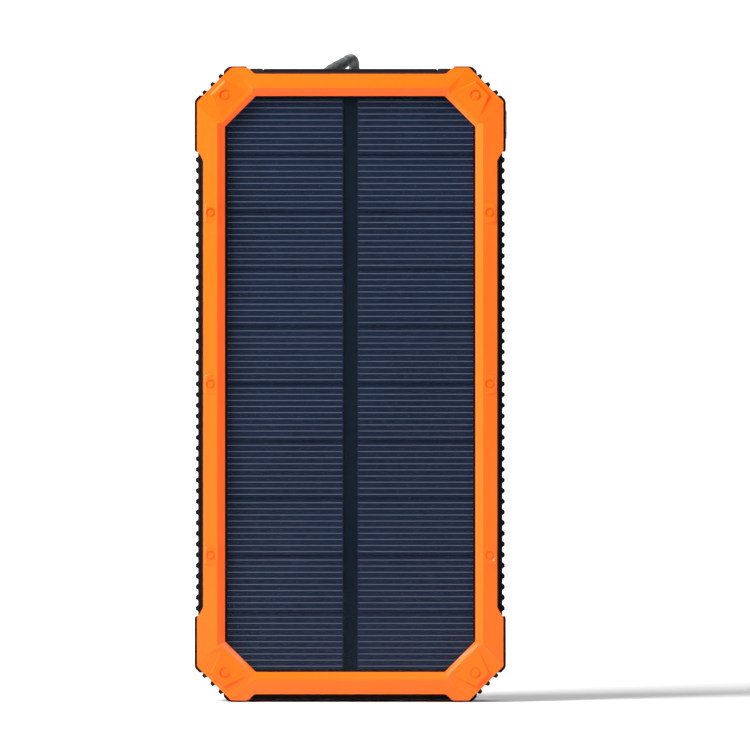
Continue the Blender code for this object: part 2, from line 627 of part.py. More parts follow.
def ring_groove(bezel, name, floor, outer, inner):
    """Cuts a round groove down to its floor, leaving a boss in the middle."""
    start = floor - Vector((0, REACH, 0))
    groove = round_bar(name, start, outer, REACH, cutter=True, segments=20)
    core = round_bar(name + "_core", start - Vector((0, MM, 0)), inner, REACH + 2 * MM,
                     cutter=True, segments=20)
    cut(groove, core)
    cut(bezel, groove)


def add_pads(bezel):
    """The raised pads with their round marks, on the corner and on the side bar."""
    out = Vector((1, 0, 1)).normalized()
    along = Vector((-1, 0, 1)).normalized()
    chamfer = Vector((BLOCK_HALF_WIDTH - BLOCK_CHAMFER / 2, FACET_Y,
                      BLOCK_HALF_HEIGHT - BLOCK_CHAMFER / 2))
    edge = chamfer - out * (CORNER_PAD_EDGE + PAD_WALL)
    join(bezel, corner_pad(edge, out, along))
    back = CORNER_RING_DEPTH - CORNER_PAD_EDGE - PAD_WALL
    floor = chamfer - out * CORNER_RING_DEPTH
    floor.y = FACET_Y - PAD_RISE * (1 - back / CORNER_PAD_LENGTH) + RING_GROOVE
    ring_groove(bezel, "corner_ring", floor, RING_OUTER, RING_INNER)
    for i in range(2):
        height = SIDE_PAD_SPACING * i
        join(bezel, side_pad("side_pad_%d" % i, height))
        floor = Vector((BAR_HALF_WIDTH - SIDE_RING_INSET,
                        RIDGE_Y + SIDE_PAD_DROP + RING_GROOVE, height))
        ring_groove(bezel, "side_ring_%d" % i, floor, SIDE_RING_OUTER, SIDE_RING_INNER)


def panel_outline(margin):
    """The octagon that the solar panel's layers share, behind the window."""
    return inset_octagon(WINDOW_HALF_WIDTH, WINDOW_HALF_HEIGHT, WINDOW_CHAMFER,
                         margin - LIP)


def clip_corner(outline, limit, side, end):
    """Cuts off what lies beyond a 45 degree line across one corner."""
    kept = []
    for here, there in zip(outline, outline[1:] + outline[:1]):
        a = here[0] * side + here[1] * end - limit
        b = there[0] * side + there[1] * end - limit
        if a <= 0:
            kept.append(here)
        if (a < 0 < b) or (b < 0 < a):
            share = a / (a - b)
            kept.append((here[0] + (there[0] - here[0]) * share,
                         here[1] + (there[1] - here[1]) * share))
    return kept


def make_panel():
    plate("solar_cover", panel_outline(CLEARANCE), COVER_Y, COVER_Y + COVER_THICKNESS, CLEAR)
    plate("panel_substrate", panel_outline(CLEARANCE), SUBSTRATE_Y,
          SUBSTRATE_Y + SUBSTRATE_THICKNESS, DARK)
    limit = (WINDOW_HALF_WIDTH + WINDOW_HALF_HEIGHT - WINDOW_CHAMFER
             + (LIP - 2 * CLEARANCE) * sqrt(2))
    pitch = 2 * (WINDOW_HALF_HEIGHT - CELL_EDGE) / CELL_ROWS
    inner = COLUMN_GAP / 2
    outer = WINDOW_HALF_WIDTH - CELL_EDGE
    for side, label in ((-1, "left"), (1, "right")):
        for row in range(CELL_ROWS):
            top = WINDOW_HALF_HEIGHT - CELL_EDGE - pitch * row
            low_x, high_x = sorted((inner * side, outer * side))
            shape = rectangle(low_x, top - pitch + CELL_GAP / 2, high_x, top - CELL_GAP / 2)
            for end in (-1, 1):
                shape = clip_corner(shape, limit, side, end)
            plate("solar_cell_%s_%02d" % (label, row + 1), shape, CELL_Y,
                  CELL_Y + CELL_THICKNESS, CELL_BLUE)
    carrier = plate("panel_carrier", panel_outline(CLEARANCE + CARRIER_MARGIN), CARRIER_Y,
                    CARRIER_Y + CARRIER_THICKNESS, PLASTIC_BLACK)
    cut(carrier, block("wire_slot", (-WIRE_SLOT[0], CARRIER_Y - MM, LEAD_Z - WIRE_SLOT[1]),
                       (WIRE_SLOT[0], CARRIER_Y + CARRIER_THICKNESS + MM, LEAD_Z + WIRE_SLOT[1]),
                       cutter=True))


def shell_outline():
    return four_way([
        (SHELL_HALF_WIDTH, SHELL_CORNER_HEIGHT - SHELL_CHAMFER),
        (SHELL_HALF_WIDTH - SHELL_CHAMFER, SHELL_CORNER_HEIGHT),
        (SHELL_STEP_X, SHELL_CORNER_HEIGHT),
        (SHELL_STEP_X - SHELL_STEP_SLOPE, SHELL_HALF_HEIGHT),
    ])


def cavity_outline():
    corner = SHELL_HALF_WIDTH + SHELL_CORNER_HEIGHT - SHELL_CHAMFER - WALL * sqrt(2)
    points = []
    for side, end, height in ((1, 1, CAVITY_TOP), (-1, 1, CAVITY_TOP),
                              (-1, -1, -CAVITY_BOTTOM), (1, -1, -CAVITY_BOTTOM)):
        pair = [(side * CAVITY_HALF_WIDTH, end * (corner - CAVITY_HALF_WIDTH)),
                (side * (corner - height), end * height)]
        points += pair if side * end > 0 else pair[::-1]
    return points


def make_shell():
    """The black rear shell: a tray with screw bosses, recesses and openings."""
    shell = plate("rear_shell", rounded(shell_outline(), SHELL_ROUNDING), SHELL_Y, BACK_Y,
                  PLASTIC_BLACK)
    whole = (SHELL_HALF_WIDTH, SHELL_HALF_HEIGHT, SHELL_CHAMFER + SHELL_CORNER_DROP)
    bevel = octagon_cone("back_bevel", whole, [(SHELL_Y - MM, SHELL_Y - MM - BACK_Y
                                                + SHELL_BACK_BEVEL),
                                               (BACK_Y + MM, SHELL_BACK_BEVEL + MM)])
    combine(shell, [bevel], "INTERSECT", solver="MANIFOLD")
    cut(shell, plate("cavity", cavity_outline(), SHELL_Y - REACH, INNER_BACK_Y, cutter=True))
    recess_low = (RECESS_X[0] - PIN_SEAT - RECESS_WALL, RECESS_Y - RECESS_WALL,
                  RECESS_FLOOR - RECESS_WALL)
    recess_high = (RECESS_X[1] + PIN_SEAT + RECESS_WALL, INNER_BACK_Y + MM, CAVITY_TOP + MM)
    join(shell, block("cord_recess_walls", recess_low, recess_high, cutter=True))
    for name, x, z in SCREWS:
        front = BOSS_FRONT_Y
        join(shell, round_bar("boss_" + name, (x, front, z), BOSS_RADIUS,
                              INNER_BACK_Y + MM - front, cutter=True))
    for name, x, z in SCREWS:
        hole = SCREW_RADIUS + CLEARANCE
        pocket = SCREW_HEAD_RADIUS + CLEARANCE
        cut(shell, round_bar("hole_" + name, (x, BOSS_FRONT_Y - MM, z), hole,
                             CASE_DEPTH, cutter=True),
            round_bar("pocket_" + name, (x, HEAD_Y - CLEARANCE, z), pocket,
                      REACH, cutter=True))
    cut(shell, plate("back_panel", inset_octagon(SHELL_HALF_WIDTH, SHELL_HALF_HEIGHT,
                                                 SHELL_CHAMFER + BACK_PANEL_INSET,
                                                 BACK_PANEL_INSET),
                     BACK_Y - BACK_PANEL_DEPTH, BACK_Y + REACH, cutter=True))
    cut_top(shell)
    cut_side_and_back(shell)


def cut_top(shell):
    """The port cover's recess, the ports' holes and the wrist cord's recess."""
    half = FLAP_WIDTH / 2 + CLEARANCE
    top = SHELL_HALF_HEIGHT + REACH
    floor = FLAP_BOTTOM - CLEARANCE
    cut(shell,
        block("flap_recess", (-half, FLAP_Y - CLEARANCE, floor),
              (half, FLAP_BACK_Y + CLEARANCE, top), cutter=True),
        block("flap_front", (-half, SHELL_Y - REACH, SHELL_HALF_HEIGHT - FLAP_LIP_DROP),
              (half, FLAP_Y, top), cutter=True),
        block("nail_notch", (NAIL_NOTCH[0] - NAIL_NOTCH[1] / 2, FLAP_BACK_Y - CLEARANCE, floor),
              (NAIL_NOTCH[0] + NAIL_NOTCH[1] / 2, FLAP_BACK_Y + CLEARANCE + NAIL_NOTCH[2], top),
              cutter=True))
    for name, x, size in PORTS:
        reach_x = size[0] / 2 + CLEARANCE
        reach_y = size[1] / 2 + CLEARANCE
        cut(shell, block(name + "_hole", (x - reach_x, PORT_Y - reach_y, CAVITY_TOP - MM),
                         (x + reach_x, PORT_Y + reach_y, top), cutter=True))
    cut(shell,
        block("cord_recess", (RECESS_X[0], RECESS_Y, RECESS_FLOOR),
              (RECESS_X[1], BACK_Y + REACH, top), cutter=True),
        round_bar("pin_seats", (RECESS_X[0] - PIN_SEAT, PIN_Y, PIN_Z), PIN_RADIUS + CLEARANCE,
                  RECESS_X[1] - RECESS_X[0] + 2 * PIN_SEAT, axis="X", cutter=True, segments=16))


def cut_side_and_back(shell):
    """The button's slot in the right wall, the torch and the charge lights."""
    reach_y = BUTTON_WIDTH / 2 + CLEARANCE
    reach_z = BUTTON_LENGTH / 2 + CLEARANCE
    low_z = LIGHTS_Z - LIGHTS_HEIGHT / 2 - CLEARANCE
    cut(shell,
        block("button_slot", (CAVITY_HALF_WIDTH - MM, BUTTON_Y - reach_y, BUTTON_Z - reach_z),
              (SHELL_HALF_WIDTH + REACH, BUTTON_Y + reach_y, BUTTON_Z + reach_z), cutter=True),
        round_bar("torch_hole", (TORCH_X, INNER_BACK_Y - MM, TORCH_Z), TORCH_RADIUS + CLEARANCE,
                  WALL + REACH, cutter=True, segments=32),
        block("lights_slot", (LIGHTS_X - LIGHTS_WIDTH / 2 - CLEARANCE, INNER_BACK_Y - MM, low_z),
              (LIGHTS_X + LIGHTS_WIDTH / 2 + CLEARANCE, BACK_Y + REACH,
               low_z + LIGHTS_HEIGHT + 2 * CLEARANCE), cutter=True))


def corner_path(base_width, base_height, corner_sum, start_z, start_x):
    """Points round one corner: along the side, over the chamfer, along the end."""
    return [(base_width, start_z), (base_width, corner_sum - base_width),
            (corner_sum - base_height, base_height), (start_x, base_height)]


def make_bumpers():
    """Four rubber corners with ribs across the chamfer."""
    root = sqrt(2)
    shell_sum = SHELL_HALF_WIDTH + SHELL_CORNER_HEIGHT - SHELL_CHAMFER
    inner_sum = shell_sum + CLEARANCE * root
    outer_sum = inner_sum + BUMPER_CHAMFER_THICKNESS * root
    start_z = BLOCK_HALF_HEIGHT - SIDE_BLOCK_LENGTH
    start_x = SHELL_STEP_X + CLEARANCE
    inner = corner_path(SHELL_HALF_WIDTH + CLEARANCE, SHELL_CORNER_HEIGHT + CLEARANCE,
                        inner_sum, start_z, start_x)
    side_corner = (BUMPER_HALF_WIDTH, outer_sum - BUMPER_HALF_WIDTH + CHAMFER_END_RISE)
    end_corner = (outer_sum - HALF_HEIGHT + CHAMFER_END_RISE, HALF_HEIGHT)
    along = Vector((-1, 1)) / root
    out = Vector((1, 1)) / root
    middle = Vector((BUMPER_HALF_WIDTH + outer_sum - HALF_HEIGHT,
                     outer_sum - BUMPER_HALF_WIDTH + HALF_HEIGHT)) / 2
    span = (Vector(end_corner) - Vector(side_corner)).length
    stops = [-span / 2 + CHAMFER_END_LENGTH, span / 2 - CHAMFER_END_LENGTH]
    chamfer = [tuple(Vector(side_corner) + (along * (CHAMFER_END_LENGTH - RIB_ROOT / 2))),
               tuple(middle + along * stops[0])]
    for i in range(CHAMFER_RIB_COUNT):
        here = (i - (CHAMFER_RIB_COUNT - 1) / 2) * CHAMFER_RIB_PITCH
        for offset, height in ((-RIB_ROOT / 2, 0), (-RIB_TIP / 2, CHAMFER_RIB_HEIGHT),
                               (RIB_TIP / 2, CHAMFER_RIB_HEIGHT), (RIB_ROOT / 2, 0)):
            chamfer.append(tuple(middle + along * (here + offset) + out * height))
    chamfer += [tuple(middle + along * stops[1]),
                tuple(Vector(end_corner) - (along * (CHAMFER_END_LENGTH - RIB_ROOT / 2)))]
    corners = corner_arc((BUMPER_HALF_WIDTH, start_z), side_corner, chamfer[0], BUMPER_ROUNDING)
    ends = corner_arc(chamfer[-1], end_corner, (start_x, HALF_HEIGHT), BUMPER_ROUNDING)
    outline = ([(BUMPER_HALF_WIDTH, start_z)] + corners + chamfer + ends
               + [(start_x, HALF_HEIGHT)] + inner[::-1])
    for side, end, name in ((-1, 1, "top_left"), (1, 1, "top_right"),
                            (-1, -1, "bottom_left"), (1, -1, "bottom_right")):
        bumper = plate("corner_bumper_" + name, [(x * side, z * end) for x, z in outline],
                       GASKET_Y, BACK_Y - BUMPER_BACK, RUBBER_BLACK)
        if name == "top_right":
            slot = block("bumper_button_slot",
                         (SHELL_HALF_WIDTH, BUTTON_Y - BUTTON_WIDTH / 2 - CLEARANCE,
                          BUTTON_Z - BUTTON_LENGTH / 2 - CLEARANCE),
                         (BUMPER_HALF_WIDTH + REACH, BUTTON_Y + BUTTON_WIDTH / 2 + CLEARANCE,
                          BUTTON_Z + BUTTON_LENGTH / 2 + CLEARANCE), cutter=True)
            cut(bumper, slot)


def make_grips():
    """The ribbed rubber strips along both sides."""
    inner = SHELL_HALF_WIDTH + CLEARANCE
    base = inner + GRIP_THICKNESS
    end = BLOCK_HALF_HEIGHT - SIDE_BLOCK_LENGTH - CLEARANCE
    outline = [(inner, end), (inner, -end), (base, -end)]
    count = int((2 * end - RIB_ROOT) / RIB_PITCH) + 1
    for i in range(count):
        here = (i - (count - 1) / 2) * RIB_PITCH
        outline += [(base, here - RIB_ROOT / 2), (base + RIB_HEIGHT, here - RIB_TIP / 2),
                    (base + RIB_HEIGHT, here + RIB_TIP / 2), (base, here + RIB_ROOT / 2)]
    outline.append((base, end))
    for side, name in ((-1, "left"), (1, "right")):
        plate("side_grip_" + name, [(x * side, z) for x, z in outline],
              GASKET_Y + MM, BACK_Y - GRIP_BACK, RUBBER_BLACK)


def make_gasket():
    outer = inset_octagon(BAR_HALF_WIDTH, BAR_HALF_HEIGHT, GASKET_CHAMFER, CLEARANCE)
    inner = inset_octagon(BAR_HALF_WIDTH, BAR_HALF_HEIGHT, GASKET_CHAMFER,
                          CLEARANCE + GASKET_WIDTH)
    ring("perimeter_gasket", outer, inner, GASKET_Y, GASKET_Y + GASKET_THICKNESS,
         RUBBER_BLACK)


def make_flap():
    """The port cover, turning on its own front edge."""
    half = FLAP_WIDTH / 2
    flap = block("port_cover", (-half, 0, -FLAP_THICKNESS / 2),
                 (half, FLAP_LENGTH - FLAP_THICKNESS / 2, FLAP_THICKNESS / 2), RUBBER_BLACK)
    roll = round_bar("flap_roll", (-half, 0, 0), FLAP_THICKNESS / 2, FLAP_WIDTH, axis="X",
                     cutter=True, segments=16)
    flap.location = (0, HINGE_Y, HINGE_Z)
    roll.location = flap.location
    join(flap, roll)


def make_screws():
    for name, x, z in SCREWS:
        tip = FACET_Y + SCREW_SKIN + CLEARANCE
        head = round_bar("screw_" + name, (x, HEAD_Y, z), SCREW_HEAD_RADIUS, SCREW_HEAD_HEIGHT,
                         material=METAL, segments=20)
        shank = round_bar("shank_" + name, (x, tip, z), SCREW_RADIUS, HEAD_Y + MM / 2 - tip,
                          cutter=True, segments=12)
        join(head, shank)
        for turn in range(2):
            arm = (SCREW_SLOT[0], SCREW_SLOT[1]) if turn == 0 else (SCREW_SLOT[1], SCREW_SLOT[0])
            cut(head, block("cross_%s_%d" % (name, turn),
                            (x - arm[0], HEAD_Y + SCREW_HEAD_HEIGHT - SCREW_SLOT[2], z - arm[1]),
                            (x + arm[0], BACK_Y, z + arm[1]), cutter=True))


def make_ports():
    for name, x, size in PORTS:
        wall = USB_A_WALL if size == USB_A_SIZE else MICRO_WALL
        tongue = USB_A_TONGUE if size == USB_A_SIZE else MICRO_TONGUE
        half = Vector(size) / 2
        bottom = PORT_MOUTH - size[2]
        port = block(name, (x - half.x, PORT_Y - half.y, bottom),
                     (x + half.x, PORT_Y + half.y, PORT_MOUTH), METAL)
        cut(port, block(name + "_mouth", (x - half.x + wall, PORT_Y - half.y + wall,
                                          bottom + 2 * wall),
                        (x + half.x - wall, PORT_Y + half.y - wall, PORT_MOUTH + MM),
                        cutter=True))
        join(port, block(name + "_tongue", (x - half.x * TONGUE_SHARE, PORT_Y, bottom + wall),
                         (x + half.x * TONGUE_SHARE, PORT_Y + tongue, PORT_MOUTH - MM),
                         cutter=True))


def make_button():
    """The power button: a long cap with two flanges that keep it in the wall."""
    outer = BUMPER_HALF_WIDTH + BUTTON_PROUD
    flange_x = CAVITY_HALF_WIDTH - CLEARANCE - BUTTON_FLANGE
    cap = rounded(rectangle(-BUTTON_WIDTH / 2, -BUTTON_LENGTH / 2, BUTTON_WIDTH / 2,
                            BUTTON_LENGTH / 2), BUTTON_WIDTH / 3)
    button = plate("power_button", cap, flange_x + BUTTON_FLANGE / 2, outer, PLASTIC_GREY)
    button.rotation_euler = (0, 0, pi / 2)
    button.data.transform(Matrix.Rotation(pi, 4, "Z"))
    button.location = (0, BUTTON_Y, BUTTON_Z)
    half_y = BUTTON_WIDTH / 2 + BUTTON_FLANGE_RISE
    half_z = BUTTON_LENGTH / 2 - BUTTON_WIDTH / 2
    join(button, block("button_flanges", (flange_x, BUTTON_Y - half_y, BUTTON_Z - half_z),
                       (flange_x + BUTTON_FLANGE, BUTTON_Y + half_y, BUTTON_Z + half_z),
                       cutter=True))


def make_inside():
    battery = rounded(rectangle(-BATTERY_HALF_WIDTH, BATTERY_BOTTOM, BATTERY_HALF_WIDTH,
                                BATTERY_TOP), BATTERY_ROUNDING)
    plate("battery_front", battery, BATTERY_Y, BATTERY_Y + BATTERY_THICKNESS, FOIL)
    plate("battery_rear", battery, REAR_BATTERY_Y, REAR_BATTERY_Y + BATTERY_THICKNESS, FOIL)
    block("foam_pad", (-BATTERY_HALF_WIDTH, FOAM_Y, BATTERY_BOTTOM),
          (BATTERY_HALF_WIDTH, INNER_BACK_Y - FOAM_GAP, BATTERY_TOP), FOAM)
    board = [(-BOARD_HALF_WIDTH, BOARD_BOTTOM), (BOARD_HALF_WIDTH, BOARD_BOTTOM),
             (BOARD_HALF_WIDTH, BUTTON_Z - SWITCH_SIZE[2] / 2), (SWITCH_X + SWITCH_SIZE[0],
             BUTTON_Z - SWITCH_SIZE[2] / 2), (SWITCH_X + SWITCH_SIZE[0],
             BUTTON_Z + SWITCH_SIZE[2] / 2), (BOARD_HALF_WIDTH, BUTTON_Z + SWITCH_SIZE[2] / 2),
             (BOARD_HALF_WIDTH, BOARD_TOP), (-BOARD_HALF_WIDTH, BOARD_TOP)]
    plate("circuit_board", board, BOARD_Y, BOARD_Y + BOARD_THICKNESS, BOARD_GREEN)
    face = BOARD_Y - CLEARANCE
    coil = rectangle(INDUCTOR_X - INDUCTOR / 2, INDUCTOR_Z - INDUCTOR / 2,
                     INDUCTOR_X + INDUCTOR / 2, INDUCTOR_Z + INDUCTOR / 2)
    plate("boost_inductor", rounded(coil, INDUCTOR / 4),
          face - INDUCTOR_HEIGHT, face, DARK)
    switch_y = BUTTON_Y - SWITCH_SIZE[1] / 2
    block("tact_switch", (SWITCH_X, switch_y, BUTTON_Z - SWITCH_SIZE[2] / 2),
          (SWITCH_X + SWITCH_SIZE[0], switch_y + SWITCH_SIZE[1], BUTTON_Z + SWITCH_SIZE[2] / 2),
          METAL)


def make_lights():
    outer = BACK_Y - BACK_PANEL_DEPTH
    round_bar("torch_lens", (TORCH_X, outer - TORCH_LENS - TORCH_SINK, TORCH_Z), TORCH_RADIUS,
              TORCH_LENS, material=CLEAR, segments=32)
    led_y = BOARD_Y + BOARD_THICKNESS + CLEARANCE
    block("torch_led", (TORCH_X - LED_HALF, led_y, TORCH_Z - LED_HALF),
          (TORCH_X + LED_HALF, led_y + LED_HEIGHT, TORCH_Z + LED_HALF), PLASTIC_WHITE)
    block("charge_light_lens", (LIGHTS_X - LIGHTS_WIDTH / 2, led_y, LIGHTS_Z - LIGHTS_HEIGHT / 2),
          (LIGHTS_X + LIGHTS_WIDTH / 2, outer - TORCH_SINK, LIGHTS_Z + LIGHTS_HEIGHT / 2), CLEAR)


def make_leads():
    """Wires from the panel and from the battery to the circuit board."""
    board_face = BOARD_Y - CLEARANCE - LEAD_RADIUS
    start_y = SUBSTRATE_Y + SUBSTRATE_THICKNESS + CLEARANCE
    for x, name, material in ((-LEAD_SPACING, "negative", LEAD_BLACK),
                              (LEAD_SPACING, "positive", LEAD_RED)):
        panel = [(x, start_y, LEAD_Z), (x, start_y + 2 * MM, LEAD_Z),
                 (x, board_face - 2 * MM, LEAD_Z - MM), (x, board_face, LEAD_Z - MM)]
        tube("solar_lead_" + name, smooth_route(panel, 2 * MM), LEAD_RADIUS, material, sides=1)
        seam_y = BATTERY_Y + BATTERY_THICKNESS / 2
        place = x - BATTERY_LEAD_X
        battery = [(place, seam_y, BATTERY_TOP + CLEARANCE), (place, seam_y, BATTERY_TOP + 4 * MM),
                   (place, board_face - MM, BATTERY_TOP + 6 * MM),
                   (place, board_face, BATTERY_TOP + 8 * MM)]
        tube("battery_lead_" + name, smooth_route(battery, 2 * MM), LEAD_RADIUS, material, sides=1)


def make_cord():
    """The wrist cord: one length whose two ends are crimped in an anchor on a pin."""
    route = [Vector(spot) * MM for spot in CORD_ROUTE]
    tube("wrist_cord", smooth_route(route, CORD_SPACING), CORD_DIAMETER / 2, CORD_GREY)
    round_bar("anchor_pin", (RECESS_X[0] - PIN_SEAT + CLEARANCE, PIN_Y, PIN_Z), PIN_RADIUS,
              RECESS_X[1] - RECESS_X[0] + 2 * (PIN_SEAT - CLEARANCE), axis="X",
              material=METAL, segments=16)
    half = Vector(ANCHOR_SIZE) / 2
    anchor = block("cord_anchor", (ANCHOR_X - half.x, PIN_Y - half.y, PIN_Z - half.z),
                   (ANCHOR_X + half.x, PIN_Y + half.y, PIN_Z + half.z), METAL)
    cut(anchor, round_bar("anchor_bore", (ANCHOR_X - half.x - MM, PIN_Y, PIN_Z),
                          PIN_RADIUS + CLEARANCE, ANCHOR_SIZE[0] + 2 * MM, axis="X",
                          cutter=True, segments=16))
    legs = cord_crossings(route)
    middle = (legs[0] + legs[1]) / 2
    half = Vector(BEAD_SIZE) / 2
    bead = block("cord_bead", middle - half, middle + half, PLASTIC_BLACK)
    for i, leg in enumerate(legs):
        cut(bead, round_bar("bead_hole_%d" % i, (leg.x, leg.y, leg.z - half.z - MM),
                            CORD_DIAMETER / 2 + BEAD_PLAY, BEAD_SIZE[2] + 2 * MM, axis="Z",
                            cutter=True, segments=16))


def cord_crossings(route):
    """Where the cord's two legs pass the bead's height."""
    points = smooth_route(route, CORD_SPACING / 20)
    legs = []
    for here, there in zip(points, points[1:]):
        if (here.z - BEAD_Z) * (there.z - BEAD_Z) <= 0:
            legs.append(here.lerp(there, (BEAD_Z - here.z) / (there.z - here.z)))
    return legs[:2]


clear_scene()
PARTS = new_collection("solar_phone_charger")
CUTTERS = new_collection("cutters")
CASE = bpy.data.objects.new("case_middle", None)
PARTS.objects.link(CASE)
CASE.location = (0, 0, HALF_HEIGHT)

PLASTIC_ORANGE = new_material("orange_plastic", ORANGE, 0.45)
PLASTIC_BLACK = new_material("black_plastic", BLACK, 0.5)
RUBBER_BLACK = new_material("black_rubber", RUBBER, 0.7)
PLASTIC_GREY = new_material("grey_plastic", GREY, 0.45)
PLASTIC_WHITE = new_material("white_plastic", WHITE, 0.4)
CELL_BLUE = new_material("solar_cell", NAVY, 0.35)
CLEAR = new_material("clear_cover", (0.8, 0.85, 0.9), 0.1)
DARK = new_material("dark_laminate", (0.01, 0.013, 0.02), 0.5)
METAL = new_material("plated_steel", STEEL, 0.3, 1.0)
FOIL = new_material("battery_foil", SILVER, 0.35, 0.9)
FOAM = new_material("foam", (0.05, 0.05, 0.055), 0.9)
BOARD_GREEN = new_material("board_green", GREEN, 0.4)
LEAD_RED = new_material("red_insulation", (0.5, 0.02, 0.015), 0.5)
LEAD_BLACK = new_material("black_insulation", (0.015, 0.015, 0.015), 0.5)
CORD_GREY = new_material("cord_grey", (0.045, 0.055, 0.06), 0.85)

make_bezel()
make_panel()
make_shell()
make_bumpers()
make_grips()
make_gasket()
make_flap()
make_screws()
make_ports()
make_button()
make_inside()
make_lights()
make_leads()
make_cord()
bpy.context.view_layer.update()
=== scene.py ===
from math import cos, floor, pi, radians, sin, tau

import bmesh
import bpy
from mathutils import Matrix, Vector
from mathutils.bvhtree import BVHTree


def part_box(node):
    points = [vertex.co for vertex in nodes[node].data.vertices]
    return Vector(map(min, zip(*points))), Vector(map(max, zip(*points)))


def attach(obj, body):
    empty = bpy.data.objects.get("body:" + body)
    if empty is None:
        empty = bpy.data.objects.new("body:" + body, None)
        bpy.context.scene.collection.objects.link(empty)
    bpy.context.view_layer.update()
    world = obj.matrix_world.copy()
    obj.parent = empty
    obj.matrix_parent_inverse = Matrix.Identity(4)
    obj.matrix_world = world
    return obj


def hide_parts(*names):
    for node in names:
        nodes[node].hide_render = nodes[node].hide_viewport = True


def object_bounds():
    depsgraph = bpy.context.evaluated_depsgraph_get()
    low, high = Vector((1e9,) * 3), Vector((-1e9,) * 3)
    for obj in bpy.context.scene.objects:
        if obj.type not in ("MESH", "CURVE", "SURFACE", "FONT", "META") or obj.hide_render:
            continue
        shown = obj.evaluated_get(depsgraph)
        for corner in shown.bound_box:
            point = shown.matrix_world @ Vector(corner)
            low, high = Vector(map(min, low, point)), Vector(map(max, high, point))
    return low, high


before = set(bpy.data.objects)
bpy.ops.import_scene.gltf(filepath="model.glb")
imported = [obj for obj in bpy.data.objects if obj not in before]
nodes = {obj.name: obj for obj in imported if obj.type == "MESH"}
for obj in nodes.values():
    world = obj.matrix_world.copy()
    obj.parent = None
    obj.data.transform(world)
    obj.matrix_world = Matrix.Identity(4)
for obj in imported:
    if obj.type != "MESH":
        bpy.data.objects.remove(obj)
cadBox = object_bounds()
mm = 0.001
print("frame loaded:", len(nodes), "nodes")


class Wire:
    # a shader value; arithmetic on it adds Math nodes
    def __init__(self, socket, finish):
        self.socket = socket
        self.finish = finish

    def maths(self, operation, first, second):
        return self.finish.node("Math", settings={"operation": operation}, in0=first, in1=second)

    def __add__(self, other):
        return self.maths("ADD", self, other)

    def __radd__(self, other):
        return self.maths("ADD", other, self)

    def __mul__(self, other):
        return self.maths("MULTIPLY", self, other)

    def __rmul__(self, other):
        return self.maths("MULTIPLY", other, self)


class Finish:
    # one material, built around its Principled shader
    def __init__(self, name):
        self.material = bpy.data.materials.new(name)
        self.material.use_nodes = True
        self.tree = self.material.node_tree
        self.shader = self.tree.nodes["Principled BSDF"]

    def feed(self, target, value):
        if isinstance(value, Wire):
            self.tree.links.new(value.socket, target)
        else:
            target.default_value = value

    def node(self, kind, output=0, settings=None, **sockets):
        made = self.tree.nodes.new("ShaderNode" + kind)
        for key, value in (settings or {}).items():
            setattr(made, key, value)
        for key, value in sockets.items():
            numbered = key.startswith("in") and key[2:].isdigit()
            self.feed(made.inputs[int(key[2:]) if numbered else key.replace("_", " ")], value)
        return Wire(made.outputs[output], self)

    def coords(self, kind="Object"):
        return self.node("TexCoord", output=kind)

    def noise(self, scale, detail=3.0, roughness=0.55, vector=None):
        return self.node("TexNoise", output="Fac", Vector=vector or self.coords(), Scale=scale,
                         Detail=detail, Roughness=roughness)

    def between(self, factor, dark, light):
        return self.node("Mix", output=2, settings={"data_type": "RGBA"}, in0=factor,
                         in6=(*dark, 1.0), in7=(*light, 1.0))

    def ranged(self, value, low, high):
        # most of a noise lies between 0.3 and 0.7
        return self.node("MapRange", Value=value, From_Min=0.3, From_Max=0.7, To_Min=low, To_Max=high)

    def bump(self, height, strength, distance):
        return self.node("Bump", Height=height, Strength=strength, Distance=distance)

    def surface(self, **sockets):
        for key, value in sockets.items():
            self.feed(self.shader.inputs[key.replace("_", " ")], value)
        return self.material


def lighter(colour, share):
    return tuple(min(1.0, part * share) for part in colour)


def moulded(name, colour, roughness, grain=2600.0, strength=0.25, spread=0.08, **fixed):
    # moulded plastic or rubber: a fine eroded texture and slow changes in colour and gloss
    finish = Finish(name)
    broad = finish.noise(45.0, detail=4.0)
    fine = finish.noise(grain, detail=2.0)
    speck = finish.noise(grain * 0.35, detail=3.0)
    colours = finish.between(finish.ranged(broad * 0.6 + speck * 0.4, 0.0, 1.0),
                             lighter(colour, 1 - spread), lighter(colour, 1 + spread))
    rough = finish.ranged(broad * 0.5 + fine * 0.5, roughness - 0.05, roughness + 0.05)
    return finish.surface(Base_Color=colours, Roughness=rough,
                          Normal=finish.bump(fine * 0.7 + speck * 0.3, strength, 0.03 * mm), **fixed)


def metal(name, colour, roughness):
    # plated or drawn metal with faint streaks along one direction
    finish = Finish(name)
    stretched = finish.node("Mapping", Vector=finish.coords(), Scale=(1.0, 1.0, 12.0))
    streaks = finish.noise(900.0, vector=stretched)
    broad = finish.noise(120.0)
    return finish.surface(
        Base_Color=finish.between(broad, lighter(colour, 0.9), lighter(colour, 1.06)), Metallic=1.0,
        Roughness=finish.ranged(streaks * 0.6 + broad * 0.4, roughness - 0.06, roughness + 0.08),
        Normal=finish.bump(streaks, 0.08, 0.01 * mm))


def solarCell():
    # blue silicon: faint crystal flecks and a slow change in blue down the panel
    finish = Finish("solarCell")
    flecks = finish.node("TexVoronoi", output="Color", Vector=finish.coords(), Scale=700.0)
    fleck = finish.node("SeparateColor", output=0, in0=flecks)
    broad = finish.noise(22.0, detail=4.0)
    colour = finish.between(finish.ranged(fleck * 0.25 + broad * 0.75, 0.0, 1.0),
                            (0.0028, 0.0075, 0.0225), (0.0045, 0.0110, 0.0300))
    return finish.surface(Base_Color=colour, Roughness=finish.ranged(broad, 0.36, 0.44),
                          Specular_IOR_Level=0.1)


